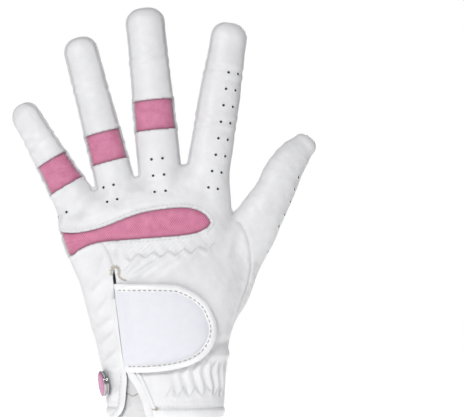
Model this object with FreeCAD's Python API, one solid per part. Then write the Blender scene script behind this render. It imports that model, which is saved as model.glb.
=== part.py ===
import FreeCAD, Part
import math
import os

from FreeCAD import Vector

# Left golf glove, filled as on a hand. Millimetres, +Z to the fingers, -Y the back of the hand,
# +X the thumb side, origin at the centre of the cuff opening.

LEATHER = 0.9          # thickness of the glove skin
GAP = 0.4              # clearance between two parts that move against each other
LINING_LOW = -1.7      # inner face of the elastic strips sewn inside the skin
LINING_HIGH = -1.0
SQUARENESS = 2.3       # power of the rounded sections
RING_POINTS = 24
SEAM_Y = 1.0           # plane where back and palm leather meet at the sides
FAR = 150.0

# height, tilt in degrees, centre x, centre y, half width, half thickness
PALM_SECTIONS = [
    (0.0, 0.0, 0.0, 0.0, 29.2, 20.0),
    (14.0, 0.0, 0.1, 0.0, 29.9, 19.6),
    (26.0, 0.0, -0.5, 0.0, 31.5, 19.5),
    (46.0, 0.0, -2.0, 0.0, 35.0, 19.6),
    (66.0, 0.0, -2.6, 0.0, 39.8, 18.5),
    (86.0, 4.0, -8.0, 0.6, 41.6, 15.8),
    (104.5, 8.6, -10.5, 0.5, 43.5, 13.2),
    (122.0, 16.9, -12.5, 1.6, 41.0, 6.3),
]
CUFF_HEM_HEIGHT = 5.0

# the line across the palm where all four fingers fold down together
FOLD_POINT = Vector(-3.5, 14.0, 105.5)
FOLD_SLOPE = 8.6

# centre x, y, z, lean in degrees, half width, half thickness
THUMB_ROOT_SECTIONS = [
    (14.0, 4.0, 40.0, 28.0, 12.0, 10.0),
    (26.0, 6.5, 66.0, 26.0, 17.5, 12.5),
    (36.0, 7.0, 82.0, 22.0, 14.2, 12.0),
    (43.3, 7.0, 92.6, 20.0, 12.6, 10.6),
    (48.2, 7.6, 101.2, 19.0, 11.4, 9.8),
]
# centre x, y, z, lean, half width, half thickness
THUMB_SECTIONS = [
    (48.2, 7.6, 101.2, 19.0, 11.4, 9.8),
    (54.4, 10.0, 111.5, 18.0, 10.0, 9.3),
    (58.3, 12.0, 120.5, 22.0, 9.6, 8.8),
    (62.2, 14.0, 127.5, 31.0, 8.8, 8.2),
    (66.6, 16.0, 133.0, 41.0, 7.4, 7.0),
    (70.6, 17.2, 136.6, 47.0, 5.4, 5.2),
    (73.9, 18.0, 138.9, 50.0, 2.2, 2.2),
]
THUMB_KNUCKLE = Vector(48.2, 7.6, 101.2)
THUMB_KNUCKLE_LEAN = 19.0
THUMB_MIDDLE = Vector(58.3, 12.0, 120.5)
THUMB_MIDDLE_LEAN = 22.0
THUMB_TIP_RISE = 14.0  # degrees the thumb leans towards the palm

FINGER_RISE = 4.0      # degrees the fingers lean towards the palm
THICKNESS_RATIO = 0.41  # half thickness of a finger over its full width
SIDE_STRIP = 3.5       # half height of the side strips between back and palm of a finger
INSERT_HALF = 7.8      # half length of a stretch insert over a finger joint

# tip x, y, z, lean, distance of first and second joint from the tip,
# then widths as (distance from the tip, width)
FINGERS = {
    "index": (33.0, 7.0, 198.0, 8.8, 52.0, 26.0,
              [(14, 18.3), (40, 20.8), (60, 21.2), (78, 21.8), (94, 23.0)]),
    "middle": (-11.0, 7.5, 205.5, -5.7, 55.0, 27.0,
               [(16, 19.5), (37, 20.2), (57, 21.2), (80, 21.8), (100, 22.0)]),
    "ring": (-44.5, 7.0, 190.5, -14.8, 57.7, 27.0,
             [(13, 17.3), (33, 18.1), (54, 18.8), (74, 20.0), (91, 21.0)]),
    "little": (-73.5, 6.5, 156.5, -30.3, 40.0, 21.0,
               [(10, 14.8), (27, 16.6), (42, 18.4), (52, 20.8), (66, 22.0)]),
}
TIP_ROUNDING = [(0.0, 0.34), (1.3, 0.62), (3.8, 0.83), (7.6, 0.95)]
FINGERS_WITH_INSERT = ["middle", "ring", "little"]

# outlines seen from the back, as (x, z)
SLIT = [(-25.5, 73), (-23.2, 60), (-18, 35), (-15.5, 22), (-8.0, -1), (-24.0, -1),
        (-21.5, 4), (-20.0, 12), (-21.0, 30), (-24.3, 60)]
KNUCKLE_PANEL = [(-70, 93.5), (-47.5, 91.8), (-32.5, 94.5), (-12.5, 102), (7.5, 104.8),
                 (17.5, 103), (22.5, 98.5), (21.5, 95), (12.5, 91.5), (-12.5, 89.3),
                 (-32.5, 87.5), (-42.5, 84), (-48, 80.5), (-70, 80)]
THUMB_PALM_OUTLINE = [(26.2, 107), (16.6, 94.7), (11.4, 87.3), (8.8, 76.2), (8.2, 61.4),
                      (12.9, 48.1), (20.3, 39.2), (27.7, 35.5), (70, 34), (70, 115), (32, 115)]
THUMB_BACK_OUTLINE = [(33.5, 101), (38.5, 95), (41.5, 88), (43.0, 76), (41.5, 66), (38.5, 58),
                      (70, 50), (70, 115), (33.5, 115)]
HEEL_PATCH = [(-70, 90.3), (-20.4, 90), (-13.8, 83.6), (-13.0, 68.8), (-20.4, 54),
              (-31.5, 43), (-36.7, 38.5), (-70, 38.5)]
PLACKET = [(-70, 76), (-26, 76), (-20, 60), (-18, 30), (-18, 4), (-70, 4)]
TAB = [(-24.6, 66.5), (2.5, 66.5), (10, 65), (16.5, 61.5), (21.5, 57), (24.5, 51), (26, 46),
       (25.5, 39.5), (22.5, 33.5), (18.5, 29.5), (12.5, 26.5), (2.5, 24), (-7.5, 23),
       (-19.2, 22.8)]
TAB_BINDING = 3.6      # width of the leather binding round the tab
HOOK_PAD = [(-6, 60), (8, 60), (16, 54), (18, 46), (16, 38), (8, 31), (-6, 30)]
LOOP_PATCH = [(-12, 62), (8, 62), (19, 55), (21, 46), (19, 36), (8, 28.5), (-12, 28)]
SLIT_LEFT_EDGE = [(-24.3, 58), (-21.0, 30), (-20.0, 12), (-21.5, 5)]
SLIT_RIGHT_EDGE = [(-23.2, 60), (-18, 35), (-15.5, 22), (-9.8, 5)]
EDGE_BINDING = 3.2     # width of the bindings along the slit

# offsets outwards from the skin
PATCH_TOP = 0.9
HOOK_LOW = 1.3
TAB_LOW = 2.0
TAB_HIGH = 3.0
TAB_BINDING_LOW = 1.8
TAB_BINDING_HIGH = 3.4
EDGE_BINDING_TOP = 0.6

# ball marker on its snap at the little-finger side of the cuff
SNAP_POINT = Vector(-28.4, -7.6, 17.0)
SNAP_DIRECTION = Vector(-0.950, -0.286, -0.125)
MARKER_RADIUS = 6.35
FACE_RADIUS = 5.9
POST_RADIUS = 1.5
HEAD_RADIUS = 2.0


def direction(lean, rise):
    """Unit vectors across (thumb side), palmwards and along, for a part leaning in the palm plane."""
    a = math.radians(lean)
    r = math.radians(rise)
    along = Vector(math.sin(a) * math.cos(r), math.sin(r), math.cos(a) * math.cos(r))
    across = Vector(math.cos(a), 0, -math.sin(a))
    palmwards = along.cross(across)
    return across, palmwards, along


def ring(centre, across, palmwards, half_width, half_thickness):
    """Closed rounded section."""
    points = []
    for i in range(RING_POINTS):
        t = 2 * math.pi * i / RING_POINTS
        c = math.cos(t)
        s = math.sin(t)
        u = math.copysign(abs(c) ** (2 / SQUARENESS), c) * half_width
        v = math.copysign(abs(s) ** (2 / SQUARENESS), s) * half_thickness
        points.append(centre + across * u + palmwards * v)
    curve = Part.BSplineCurve()
    curve.interpolate(points, PeriodicFlag=True)
    return Part.Wire([curve.toShape()])


def local_box(origin, across, palmwards, along, low, high):
    """Box given by its low and high corner in a local frame."""
    size = [high[i] - low[i] for i in range(3)]
    box = Part.makeBox(size[0], size[1], size[2], Vector(low[0], low[1], low[2]))
    matrix = FreeCAD.Matrix(
        across.x, palmwards.x, along.x, origin.x,
        across.y, palmwards.y, along.y, origin.y,
        across.z, palmwards.z, along.z, origin.z,
        0, 0, 0, 1)
    return box.transformGeometry(matrix)


def world_box(low, high):
    return Part.makeBox(high[0] - low[0], high[1] - low[1], high[2] - low[2], Vector(*low))


def prism(outline, y_low, y_high):
    """Upright prism through the back or palm, from an outline in x and z."""
    corners = [Vector(x, y_low, z) for x, z in outline]
    face = Part.Face(Part.makePolygon(corners + corners[:1]))
    return face.extrude(Vector(0, y_high - y_low, 0))


def smooth_prism(outline, y_low, y_high):
    """Like prism, with a smooth curve through the points and one straight closing side."""
    corners = [Vector(x, y_low, z) for x, z in outline]
    curve = Part.BSplineCurve()
    curve.interpolate(corners)
    closing = Part.makeLine(corners[-1], corners[0])
    face = Part.Face(Part.Wire([curve.toShape(), closing]))
    return face.extrude(Vector(0, y_high - y_low, 0))


def strip_along(edge, width, side):
    """Outline of a strip of constant width beside an open edge."""
    outer = [(x + side * width, z) for x, z in edge]
    return edge + outer[::-1]


def palm_solid(offset):
    """Palm and cuff, grown outwards by the offset; the top end moves with it and the cuff stays open."""
    wires = []
    for height, tilt, x, y, half_width, half_thickness in PALM_SECTIONS:
        t = math.radians(tilt)
        if height == PALM_SECTIONS[-1][0]:
            height += offset
        across = Vector(math.cos(t), 0, math.sin(t))
        wires.append(ring(Vector(x, y, height), across, Vector(0, 1, 0),
                          half_width + offset, half_thickness + offset))
    return Part.makeLoft(wires, True, False)


def leaning_solid(sections, rise, offset):
    wires = []
    for x, y, z, lean, half_width, half_thickness in sections:
        across, palmwards, along = direction(lean, rise)
        wires.append(ring(Vector(x, y, z), across, palmwards,
                          max(half_width + offset, 0.6), max(half_thickness + offset, 0.6)))
    return Part.makeLoft(wires, True, False)


def finger_frame(name):
    x, y, z, lean = FINGERS[name][:4]
    across, palmwards, along = direction(lean, FINGER_RISE)
    return Vector(x, y, z), across, palmwards, along


def finger_width(name, distance):
    widths = FINGERS[name][6]
    for (d0, w0), (d1, w1) in zip(widths, widths[1:]):
        if distance <= d1:
            return w0 + (w1 - w0) * (distance - d0) / (d1 - d0)
    return widths[-1][1]


def finger_solid(name, offset):
    """Whole tube of one finger, from its root inside the palm to the rounded tip."""
    tip, across, palmwards, along = finger_frame(name)
    widths = FINGERS[name][6]
    sections = [(d, widths[0][1] * share) for d, share in TIP_ROUNDING] + widths
    wires = []
    for distance, width in sections:
        back = distance if distance > 0 else -offset
        wires.append(ring(tip - along * back, across, palmwards,
                          width / 2 + offset, width * THICKNESS_RATIO + offset))
    return Part.makeLoft(wires[::-1], True, False)


def hand_side_of_fold():
    """Everything on the wrist side of the fold line."""
    across, palmwards, along = direction(-FOLD_SLOPE, 0)
    return local_box(FOLD_POINT, across, palmwards, along,
                     (-FAR, -FAR, -FAR), (FAR, FAR, -GAP / 2))


def finger_side_of_fold():
    across, palmwards, along = direction(-FOLD_SLOPE, 0)
    return local_box(FOLD_POINT, across, palmwards, along,
                     (-FAR, -FAR, GAP / 2), (FAR, FAR, FAR))


def finger_slab(name, far_distance, near_distance, v_low=-40.0, v_high=40.0, u_low=-40.0, u_high=40.0):
    """Slice of one finger between two distances from its tip."""
    tip, across, palmwards, along = finger_frame(name)
    return local_box(tip, across, palmwards, along,
                     (u_low, v_low, -far_distance), (u_high, v_high, -near_distance))


def save(shape, node):
    """Write one named solid."""
    solids = [s for s in shape.Solids if s.Volume > 0.05]
    result = solids[0] if len(solids) == 1 else Part.makeCompound(solids)
    result.exportStep("parts/" + node + ".step")
    print(node, len(solids), round(result.Volume, 1), result.isValid())


def take(rest, region):
    """The part of a shell inside a region, and what is left."""
    return rest.common(region), rest.cut(region)


def make_hand():
    """Leather, stretch and cuff pieces on the wrist side of the fold line."""
    below = hand_side_of_fold()
    outer = palm_solid(0).common(below).fuse(leaning_solid(THUMB_ROOT_SECTIONS, 8, 0))
    inner = palm_solid(-LEATHER).fuse(leaning_solid(THUMB_ROOT_SECTIONS, 8, -LEATHER))
    across, palmwards, along = direction(THUMB_KNUCKLE_LEAN, THUMB_TIP_RISE)
    beyond_thumb = local_box(THUMB_KNUCKLE, across, palmwards, along, (-14, -30, -GAP / 2), (30, 30, 30))
    rest = outer.cut(inner).cut(beyond_thumb)
    rest = rest.cut(prism(SLIT, -FAR, -5))
    hem, rest = take(rest, world_box((-60, -60, -1), (60, 60, CUFF_HEM_HEIGHT)))
    save(hem, "cuff_hem")
    thumb = prism(THUMB_PALM_OUTLINE, SEAM_Y + 3, FAR).fuse(prism(THUMB_BACK_OUTLINE, -FAR, SEAM_Y + 3))
    panel, rest = take(rest, thumb)
    save(panel, "thumb_panel")
    panel, rest = take(rest, smooth_prism(KNUCKLE_PANEL, -FAR, SEAM_Y))
    save(panel, "knuckle_stretch_panel")
    post = snap_cylinder(POST_RADIUS + 0.05, -8, 4)
    panel, rest = take(rest, prism(PLACKET, -FAR, SEAM_Y))
    save(panel.cut(post), "placket")
    panel, rest = take(rest, world_box((-FAR, -FAR, -1), (FAR, SEAM_Y, FAR)))
    save(panel, "back_panel")
    save(rest, "palm_panel")


def palm_layer(low, high, region):
    """Layer that follows the palm surface between two offsets, inside a region."""
    return palm_solid(high).common(region).cut(palm_solid(low))


def make_layers():
    """Reinforcement, elastics, bindings and loop patch on the hand."""
    save(palm_layer(0, PATCH_TOP, prism(HEEL_PATCH, SEAM_Y, FAR)), "heel_patch")
    lining = palm_layer(LINING_LOW, LINING_HIGH, world_box((-60, SEAM_Y, 24), (28, 60, 36)))
    save(lining, "wrist_elastic_palm")
    lining = palm_layer(LINING_LOW, LINING_HIGH, world_box((-4, -60, 12), (27, SEAM_Y - GAP, 30)))
    save(lining, "wrist_elastic_back")
    lining = palm_layer(LINING_LOW, LINING_HIGH, world_box((-20, -60, 81), (24, -4, 88)))
    save(lining, "knuckle_elastic")
    save(palm_layer(0, EDGE_BINDING_TOP, prism(strip_along(SLIT_LEFT_EDGE, EDGE_BINDING, -1), -FAR, 0)),
         "slit_binding_left")
    save(palm_layer(0, EDGE_BINDING_TOP, prism(strip_along(SLIT_RIGHT_EDGE, EDGE_BINDING, 1), -FAR, 0)),
         "slit_binding_right")
    save(palm_layer(0, PATCH_TOP, prism(LOOP_PATCH, -FAR, 0)), "loop_patch")


def make_tab():
    """Closing tab with its binding and hook pad."""
    outline = smooth_prism(TAB, -FAR, 0)
    centre_x = 0.0
    centre_z = 44.7
    shrink_x = 1 - TAB_BINDING / 25.0
    shrink_z = 1 - TAB_BINDING / 21.8
    inside = [(-30.0, z) if i in (0, len(TAB) - 1) else (x, z) for i, (x, z) in enumerate(TAB)]
    inner_points = [(centre_x + (x - centre_x) * shrink_x, centre_z + (z - centre_z) * shrink_z)
                    for x, z in inside]
    inner = smooth_prism(inner_points, -FAR, 0)
    save(palm_layer(TAB_LOW, TAB_HIGH, outline.common(inner)), "closure_tab")
    save(palm_layer(TAB_BINDING_LOW, TAB_BINDING_HIGH, outline.cut(inner)), "tab_binding")
    save(palm_layer(HOOK_LOW, TAB_LOW, prism(HOOK_PAD, -FAR, 0)), "tab_hook_pad")


def snap_cylinder(radius, low, high):
    start = SNAP_POINT + SNAP_DIRECTION * low
    return Part.makeCylinder(radius, high - low, start, SNAP_DIRECTION)


def make_snap():
    """Snap stud through the cuff, with its backing inside."""
    stud = snap_cylinder(4.2, 0.75, 1.1).fuse(snap_cylinder(POST_RADIUS, -2.6, 1.6))
    stud = stud.fuse(snap_cylinder(HEAD_RADIUS, 1.5, 2.3))
    save(stud, "snap_stud")
    save(snap_cylinder(4.6, -3.4, -2.6), "snap_backing")


def make_marker():
    """Ball marker: socket ring, cup and face."""
    socket = snap_cylinder(5.0, 1.3, 2.5).cut(snap_cylinder(HEAD_RADIUS + 0.35, 1.2, 2.6))
    save(socket, "marker_socket")
    cup = snap_cylinder(MARKER_RADIUS, 1.3, 3.7).cut(snap_cylinder(5.0, 1.2, 2.5))
    cup = cup.cut(snap_cylinder(HEAD_RADIUS + 0.35, 1.6, 2.7)).cut(snap_cylinder(FACE_RADIUS, 3.2, 3.8))
    save(cup, "marker_cup")
    save(snap_cylinder(FACE_RADIUS, 3.2, 3.9), "marker_face")


def make_knuckles():
    """Root of the four fingers, up to the first finger joint."""
    above = finger_side_of_fold()
    outer = palm_solid(0).common(above)
    inner = palm_solid(-LEATHER)
    for name in FINGERS:
        first_joint = FINGERS[name][4]
        reach = finger_slab(name, 200, first_joint + GAP / 2).common(above)
        outer = outer.fuse(finger_solid(name, 0).common(reach))
        inner = inner.fuse(finger_solid(name, -LEATHER))
    rest = outer.cut(inner)
    across, palmwards, along = direction(0, FINGER_RISE)
    back_side = local_box(Vector(0, SEAM_Y, 105), across, palmwards, along,
                          (-FAR, -FAR, -FAR), (FAR, 0, FAR))
    back, palm = take(rest, back_side)
    for name in FINGERS_WITH_INSERT:
        first_joint = FINGERS[name][4]
        notch = finger_slab(name, first_joint + INSERT_HALF, first_joint - 1, -40, -SIDE_STRIP - GAP, -12, 12)
        back = back.cut(notch)
    save(back, "upper_back")
    save(palm, "upper_palm")


def finger_shell(name):
    return finger_solid(name, 0).cut(finger_solid(name, -LEATHER))


def make_finger(name):
    """Middle and tip parts of one finger, cut into back, palm and side strip."""
    first_joint, second_joint = FINGERS[name][4:6]
    shell = finger_shell(name)
    middle_far = first_joint - GAP / 2
    middle_near = second_joint + GAP / 2
    tip_far = second_joint - GAP / 2
    back_start = middle_far
    if name in FINGERS_WITH_INSERT:
        insert = finger_slab(name, first_joint + INSERT_HALF, first_joint - INSERT_HALF, -40, -SIDE_STRIP - GAP)
        save(shell.common(insert), name + "_flex_insert")
        back_start = first_joint - INSERT_HALF - GAP
    save(shell.common(finger_slab(name, back_start, middle_near, -40, -SIDE_STRIP)), name + "_middle_back")
    save(shell.common(finger_slab(name, middle_far, middle_near, SIDE_STRIP, 40)), name + "_middle_palm")
    save(shell.common(finger_slab(name, middle_far, middle_near, -SIDE_STRIP, SIDE_STRIP)),
         name + "_fourchettes")
    save(shell.common(finger_slab(name, tip_far, -5, -40, 0)), name + "_tip_back")
    save(shell.common(finger_slab(name, tip_far, -5, 0, 40)), name + "_tip_palm")


def make_thumb():
    """Middle and tip parts of the thumb, cut into back and palm."""
    shell = leaning_solid(THUMB_SECTIONS, THUMB_TIP_RISE, 0)
    shell = shell.cut(leaning_solid(THUMB_SECTIONS[:-1], THUMB_TIP_RISE, -LEATHER))
    knuckle = direction(THUMB_KNUCKLE_LEAN, THUMB_TIP_RISE)
    middle = direction(THUMB_MIDDLE_LEAN, THUMB_TIP_RISE)
    above_knuckle = local_box(THUMB_KNUCKLE, *knuckle, (-FAR, -FAR, GAP / 2), (FAR, FAR, FAR))
    above_middle = local_box(THUMB_MIDDLE, *middle, (-FAR, -FAR, GAP / 2), (FAR, FAR, FAR))
    below_middle = local_box(THUMB_MIDDLE, *middle, (-FAR, -FAR, -FAR), (FAR, FAR, -GAP / 2))
    back_side = local_box(THUMB_MIDDLE, *middle, (-FAR, -FAR, -FAR), (FAR, 0, FAR))
    middle_part = shell.common(above_knuckle).common(below_middle)
    tip_part = shell.common(above_middle)
    save(middle_part.common(back_side), "thumb_middle_back")
    save(middle_part.cut(back_side), "thumb_middle_palm")
    save(tip_part.common(back_side), "thumb_tip_back")
    save(tip_part.cut(back_side), "thumb_tip_palm")


os.makedirs("parts", exist_ok=True)
make_hand()
make_layers()
make_tab()
make_snap()
make_marker()
make_knuckles()
for finger in FINGERS:
    make_finger(finger)
make_thumb()
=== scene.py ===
"""Left golf glove, filled as on a hand: skin, panels, stitching, tab and ball marker over the frame."""
import math

import bmesh
import bpy
import numpy as np
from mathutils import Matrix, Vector
from mathutils.bvhtree import BVHTree
from mathutils.kdtree import KDTree


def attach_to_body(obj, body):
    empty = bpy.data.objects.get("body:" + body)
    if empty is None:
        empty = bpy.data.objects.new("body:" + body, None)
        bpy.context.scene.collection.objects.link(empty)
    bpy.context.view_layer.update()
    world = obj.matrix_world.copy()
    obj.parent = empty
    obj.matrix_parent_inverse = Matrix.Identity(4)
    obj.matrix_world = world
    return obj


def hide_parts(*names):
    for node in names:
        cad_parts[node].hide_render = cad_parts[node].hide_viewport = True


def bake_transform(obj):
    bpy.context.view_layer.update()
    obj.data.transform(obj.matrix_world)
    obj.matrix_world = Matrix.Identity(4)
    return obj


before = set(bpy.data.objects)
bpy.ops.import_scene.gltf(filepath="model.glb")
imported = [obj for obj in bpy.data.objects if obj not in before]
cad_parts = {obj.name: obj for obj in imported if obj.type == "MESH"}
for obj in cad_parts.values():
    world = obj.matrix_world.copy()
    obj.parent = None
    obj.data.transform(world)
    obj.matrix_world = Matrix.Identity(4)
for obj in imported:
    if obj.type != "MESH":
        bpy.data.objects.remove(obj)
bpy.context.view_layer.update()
scene = bpy.context.scene

# ---------------------------------------------------------------- sizes, in millimetres

GRID_STEP = 0.8
SQUARENESS = 2.3
LEATHER = 0.9
SEAM_Y = 1.0
SIDE_STRIP = 3.5
STRIP_TAPER = 5.0
FINGER_RISE = 4.0
THUMB_RISE = 14.0
THICKNESS_RATIO = 0.41
TIP_CAP = 8.5

# height, tilt in degrees, centre x, centre y, half width, half thickness
PALM_SECTIONS = np.array([
    (0.0, 0.0, 0.0, 0.0, 29.2, 20.0),
    (14.0, 0.0, 0.1, 0.0, 29.9, 19.6),
    (26.0, 0.0, -0.5, 0.0, 31.5, 19.5),
    (46.0, 0.0, -2.0, 0.0, 35.0, 19.6),
    (66.0, 0.0, -2.6, 0.0, 39.8, 18.5),
    (86.0, 4.0, -8.0, 0.6, 41.6, 15.8),
    (104.5, 8.6, -10.5, 0.5, 43.5, 13.2),
    (122.0, 16.9, -12.5, 1.6, 41.0, 6.3),
])
PALM_TOP = 121.0
PALM_CAP = 9.0

# centre x, y, z, lean in degrees, half width, half thickness
THUMB_SECTIONS = np.array([
    (14.0, 4.0, 40.0, 28.0, 12.0, 10.0),
    (26.0, 6.5, 66.0, 26.0, 17.5, 12.5),
    (36.0, 7.0, 82.0, 22.0, 14.2, 12.0),
    (43.3, 7.0, 92.6, 20.0, 12.6, 10.6),
    (48.2, 7.6, 101.2, 19.0, 11.4, 9.8),
    (54.4, 10.0, 111.5, 18.0, 10.0, 9.3),
    (58.3, 12.0, 120.5, 22.0, 9.6, 8.8),
    (62.2, 14.0, 127.5, 31.0, 8.8, 8.2),
    (66.6, 16.0, 133.0, 41.0, 7.6, 7.0),
    (69.6, 17.0, 135.8, 46.0, 6.4, 6.0),
])
THUMB_KNUCKLE = np.array([48.2, 7.6, 101.2])
THUMB_KNUCKLE_LEAN = 19.0
THUMB_MIDDLE = np.array([58.3, 12.0, 120.5])
THUMB_MIDDLE_LEAN = 22.0
THUMB_CUTS = (-5.5, 11.3)      # from the knuckle plane: start of the middle part, start of the tip part

# tip x, y, z, lean, distances of the joints from the tip, of the cuts between pieces, root, widths
FINGERS = {
    "index": dict(tip=(33.0, 7.0, 198.0), lean=8.8, joints=(52.0, 26.0), cuts=(70.0, 39.0),
                  widths=[(14, 18.3), (40, 20.8), (60, 21.2), (78, 21.8), (94, 23.0)]),
    "middle": dict(tip=(-11.0, 7.5, 205.5), lean=-5.7, joints=(55.0, 27.0), cuts=(76.0, 41.0),
                   widths=[(16, 19.5), (37, 20.2), (57, 21.2), (80, 21.8), (100, 22.0)]),
    "ring": dict(tip=(-44.5, 7.0, 190.5), lean=-14.8, joints=(57.7, 27.0), cuts=(72.0, 42.0),
                 widths=[(13, 17.3), (33, 18.1), (54, 18.8), (74, 20.0), (91, 21.0)]),
    "little": dict(tip=(-73.5, 6.5, 156.5), lean=-30.3, joints=(40.0, 21.0), cuts=(49.6, 30.5),
                   widths=[(10, 14.8), (27, 16.6), (42, 18.4), (52, 20.8), (66, 22.0)]),
}
INSERT_HALF = 7.6
FINGERS_WITH_INSERT = ("middle", "ring", "little")

# outlines seen from the back, as (x, z)
SLIT = [(-25.2, 74), (-24.3, 70), (-23.9, 66), (-23.2, 60), (-21.0, 40), (-18.6, 24), (-16.6, 19),
        (-13.9, 14.9), (-10.9, 8.3), (-9.2, 2), (-8.2, -3), (-27.5, -3), (-24.2, 0.4), (-21.9, 2.6),
        (-20.2, 6.8), (-19.5, 14), (-19.2, 21), (-21.2, 30), (-24.7, 58), (-25.4, 66), (-25.8, 70)]
SLIT_RIGHT_EDGE = [(-23.0, 58), (-21.0, 40), (-18.6, 24), (-16.6, 19), (-13.9, 14.9), (-10.9, 8.3),
                   (-9.2, 2), (-8.9, 0.3)]
SLIT_LEFT_EDGE = [(-20.3, 26), (-19.2, 21), (-19.5, 14), (-20.2, 6.8), (-21.9, 2.6), (-24.2, 0.4)]
CUFF_TUCK = [(-14.2, 24), (-10.5, 17.5), (-7.4, 10.5), (-5.2, 4.9)]
KNUCKLE_PANEL = [(-62, 93.5), (-47.5, 91.8), (-32.5, 94.5), (-12.5, 102), (7.5, 104.8),
                 (17.5, 103), (22.3, 98.5), (21.3, 95), (12.5, 91.5), (-12.5, 89.3),
                 (-32.5, 87.5), (-42.5, 84), (-48, 80.5), (-62, 80)]
THUMB_PALM_OUTLINE = [(30, 107), (26.2, 105.8), (16.6, 94.7), (11.4, 87.3), (8.8, 76.2), (8.2, 61.4),
                      (12.9, 48.1), (20.3, 39.2), (27.7, 35.5), (40, 33), (80, 34), (80, 150), (32, 150)]
THUMB_BACK_OUTLINE = [(33.5, 101), (38.0, 96), (41.5, 88), (43.0, 76), (41.5, 66), (38.5, 58), (36.0, 50),
                      (33.0, 36), (60, 30), (90, 60), (90, 150), (33.5, 150)]
HEEL_PATCH = [(-62, 90.3), (-24, 90.2), (-16.8, 88.4), (-13.4, 83.0), (-13.0, 68.8), (-20.4, 54),
              (-31.5, 43), (-36.7, 38.5), (-62, 30)]
PLACKET = np.array([(-70, -5), (-19, -5), (-19, 12), (-22, 30), (-25.2, 60), (-25.4, 74), (-27, 80),
                    (-30, 85), (-34, 92), (-70, 92)], float)
TAB = [(-25.3, 66.8), (2.5, 66.6), (10, 65), (16.5, 61.5), (21.5, 57), (24.5, 51), (26, 46),
       (25.5, 39.5), (22.5, 33.5), (18.5, 29.5), (12.5, 26.4), (2.5, 24), (-7.5, 23), (-19.8, 22.7)]

TAB_HINGE_LOW = np.array([-20.0, -17.85, 22.5])
TAB_HINGE_HIGH = np.array([-25.7, -17.45, 67.0])
BINDING_WIDTH = 3.9
HOOK_PAD = [(-6, 60), (8, 60), (16, 54), (18, 46), (16, 38), (8, 31), (-6, 30)]
LOOP_PATCH = [(-12, 62), (8, 62), (19, 55), (21, 46), (19, 36), (8, 28.5), (-12, 28)]
HEM_HEIGHT = 4.9

SNAP_POINT = np.array([-28.4, -7.6, 17.0])
SNAP_DIRECTION = np.array([-0.950, -0.286, -0.125])

SKIN_BOX_LOW = (-84, -25, -4)
SKIN_BOX_HIGH = (82, 31, 210)


# ---------------------------------------------------------------- shape of the filled glove

def unit(vectors):
    length = np.sqrt((vectors ** 2).sum(-1, keepdims=True))
    return vectors / np.maximum(length, 1e-9)


def directions(lean, rise):
    """Unit vectors across (thumb side), palmwards and along, for a part leaning in the palm plane."""
    a = math.radians(lean)
    r = math.radians(rise)
    along = np.array([math.sin(a) * math.cos(r), math.sin(r), math.cos(a) * math.cos(r)])
    across = np.array([math.cos(a), 0.0, -math.sin(a)])
    return across, np.cross(along, across), along


def ease(t):
    """Smooth step from 0 to 1."""
    return t * t * (3 - 2 * t)


def smooth_curve(x, keys, values):
    """Smooth interpolation through a table of values."""
    keys = np.asarray(keys, float)
    values = np.asarray(values, float)
    slopes = np.gradient(values, keys)
    i = np.clip(np.searchsorted(keys, x) - 1, 0, len(keys) - 2)
    h = keys[i + 1] - keys[i]
    t = np.clip((x - keys[i]) / h, 0, 1)
    a = (1 + 2 * t) * (1 - t) ** 2
    b = t * (1 - t) ** 2
    c = ease(t)
    d = t * t * (t - 1)
    return a * values[i] + b * h * slopes[i] + c * values[i + 1] + d * h * slopes[i + 1]


def rounded_distance(u, v, cap, a, b):
    """About the distance to a rounded section of half sizes a and b; cap is the share used up by an end."""
    n = SQUARENESS
    pu = np.abs(u / a) ** n
    pv = np.abs(v / b) ** n
    total = pu + pv + np.abs(cap) ** n + 1e-9
    r = total ** (1 / n)
    slope = np.hypot(pu / np.maximum(np.abs(u), 0.05), pv / np.maximum(np.abs(v), 0.05)) * r / total
    slope = np.maximum(slope, 0.6 / np.maximum(a, b))
    return (r - 1) / slope


def palm_height(p):
    """Height along the leaning palm sections."""
    keys = PALM_SECTIONS[:, 0]
    tilt = np.tan(np.radians(PALM_SECTIONS[:, 1]))
    h = p[:, 2].copy()
    for _ in range(5):
        h = p[:, 2] - (p[:, 0] - np.interp(h, keys, PALM_SECTIONS[:, 2])) * np.interp(h, keys, tilt)
    return h, np.interp(h, keys, tilt)


def palm_distance(p):
    h, tilt = palm_height(p)
    keys = PALM_SECTIONS[:, 0]
    cx, cy, a, b = [smooth_curve(h, keys, PALM_SECTIONS[:, i]) for i in (2, 3, 4, 5)]
    u = (p[:, 0] - cx) * np.sqrt(1 + tilt ** 2)
    cap = np.maximum(0, h - (PALM_TOP - PALM_CAP)) / PALM_CAP
    return rounded_distance(u, p[:, 1] - cy, cap, a, b)


def finger_coordinates(name, p):
    """Across, palmwards and distance from the tip."""
    spec = FINGERS[name]
    across, palmwards, along = directions(spec["lean"], FINGER_RISE)
    rel = p - np.array(spec["tip"])
    return rel @ across, rel @ palmwards, -(rel @ along)


def finger_distance(name, p):
    u, v, d = finger_coordinates(name, p)
    widths = np.array(FINGERS[name]["widths"], float)
    w = smooth_curve(d, widths[:, 0], widths[:, 1])
    root = widths[-1, 0]
    cap = np.maximum(0, TIP_CAP - d) / TIP_CAP + np.maximum(0, d - root + 12) / 12
    return rounded_distance(u, v, cap, w / 2, w * THICKNESS_RATIO)


def resampled_thumb():
    """Finer sections of the thumb along a smooth centre line."""
    steps = np.concatenate([[0], np.cumsum(np.linalg.norm(np.diff(THUMB_SECTIONS[:, :3], axis=0), axis=1))])
    fine = np.linspace(0, steps[-1], 22)
    return np.stack([smooth_curve(fine, steps, THUMB_SECTIONS[:, i]) for i in range(6)], axis=1)


THUMB_FINE = resampled_thumb()


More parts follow.
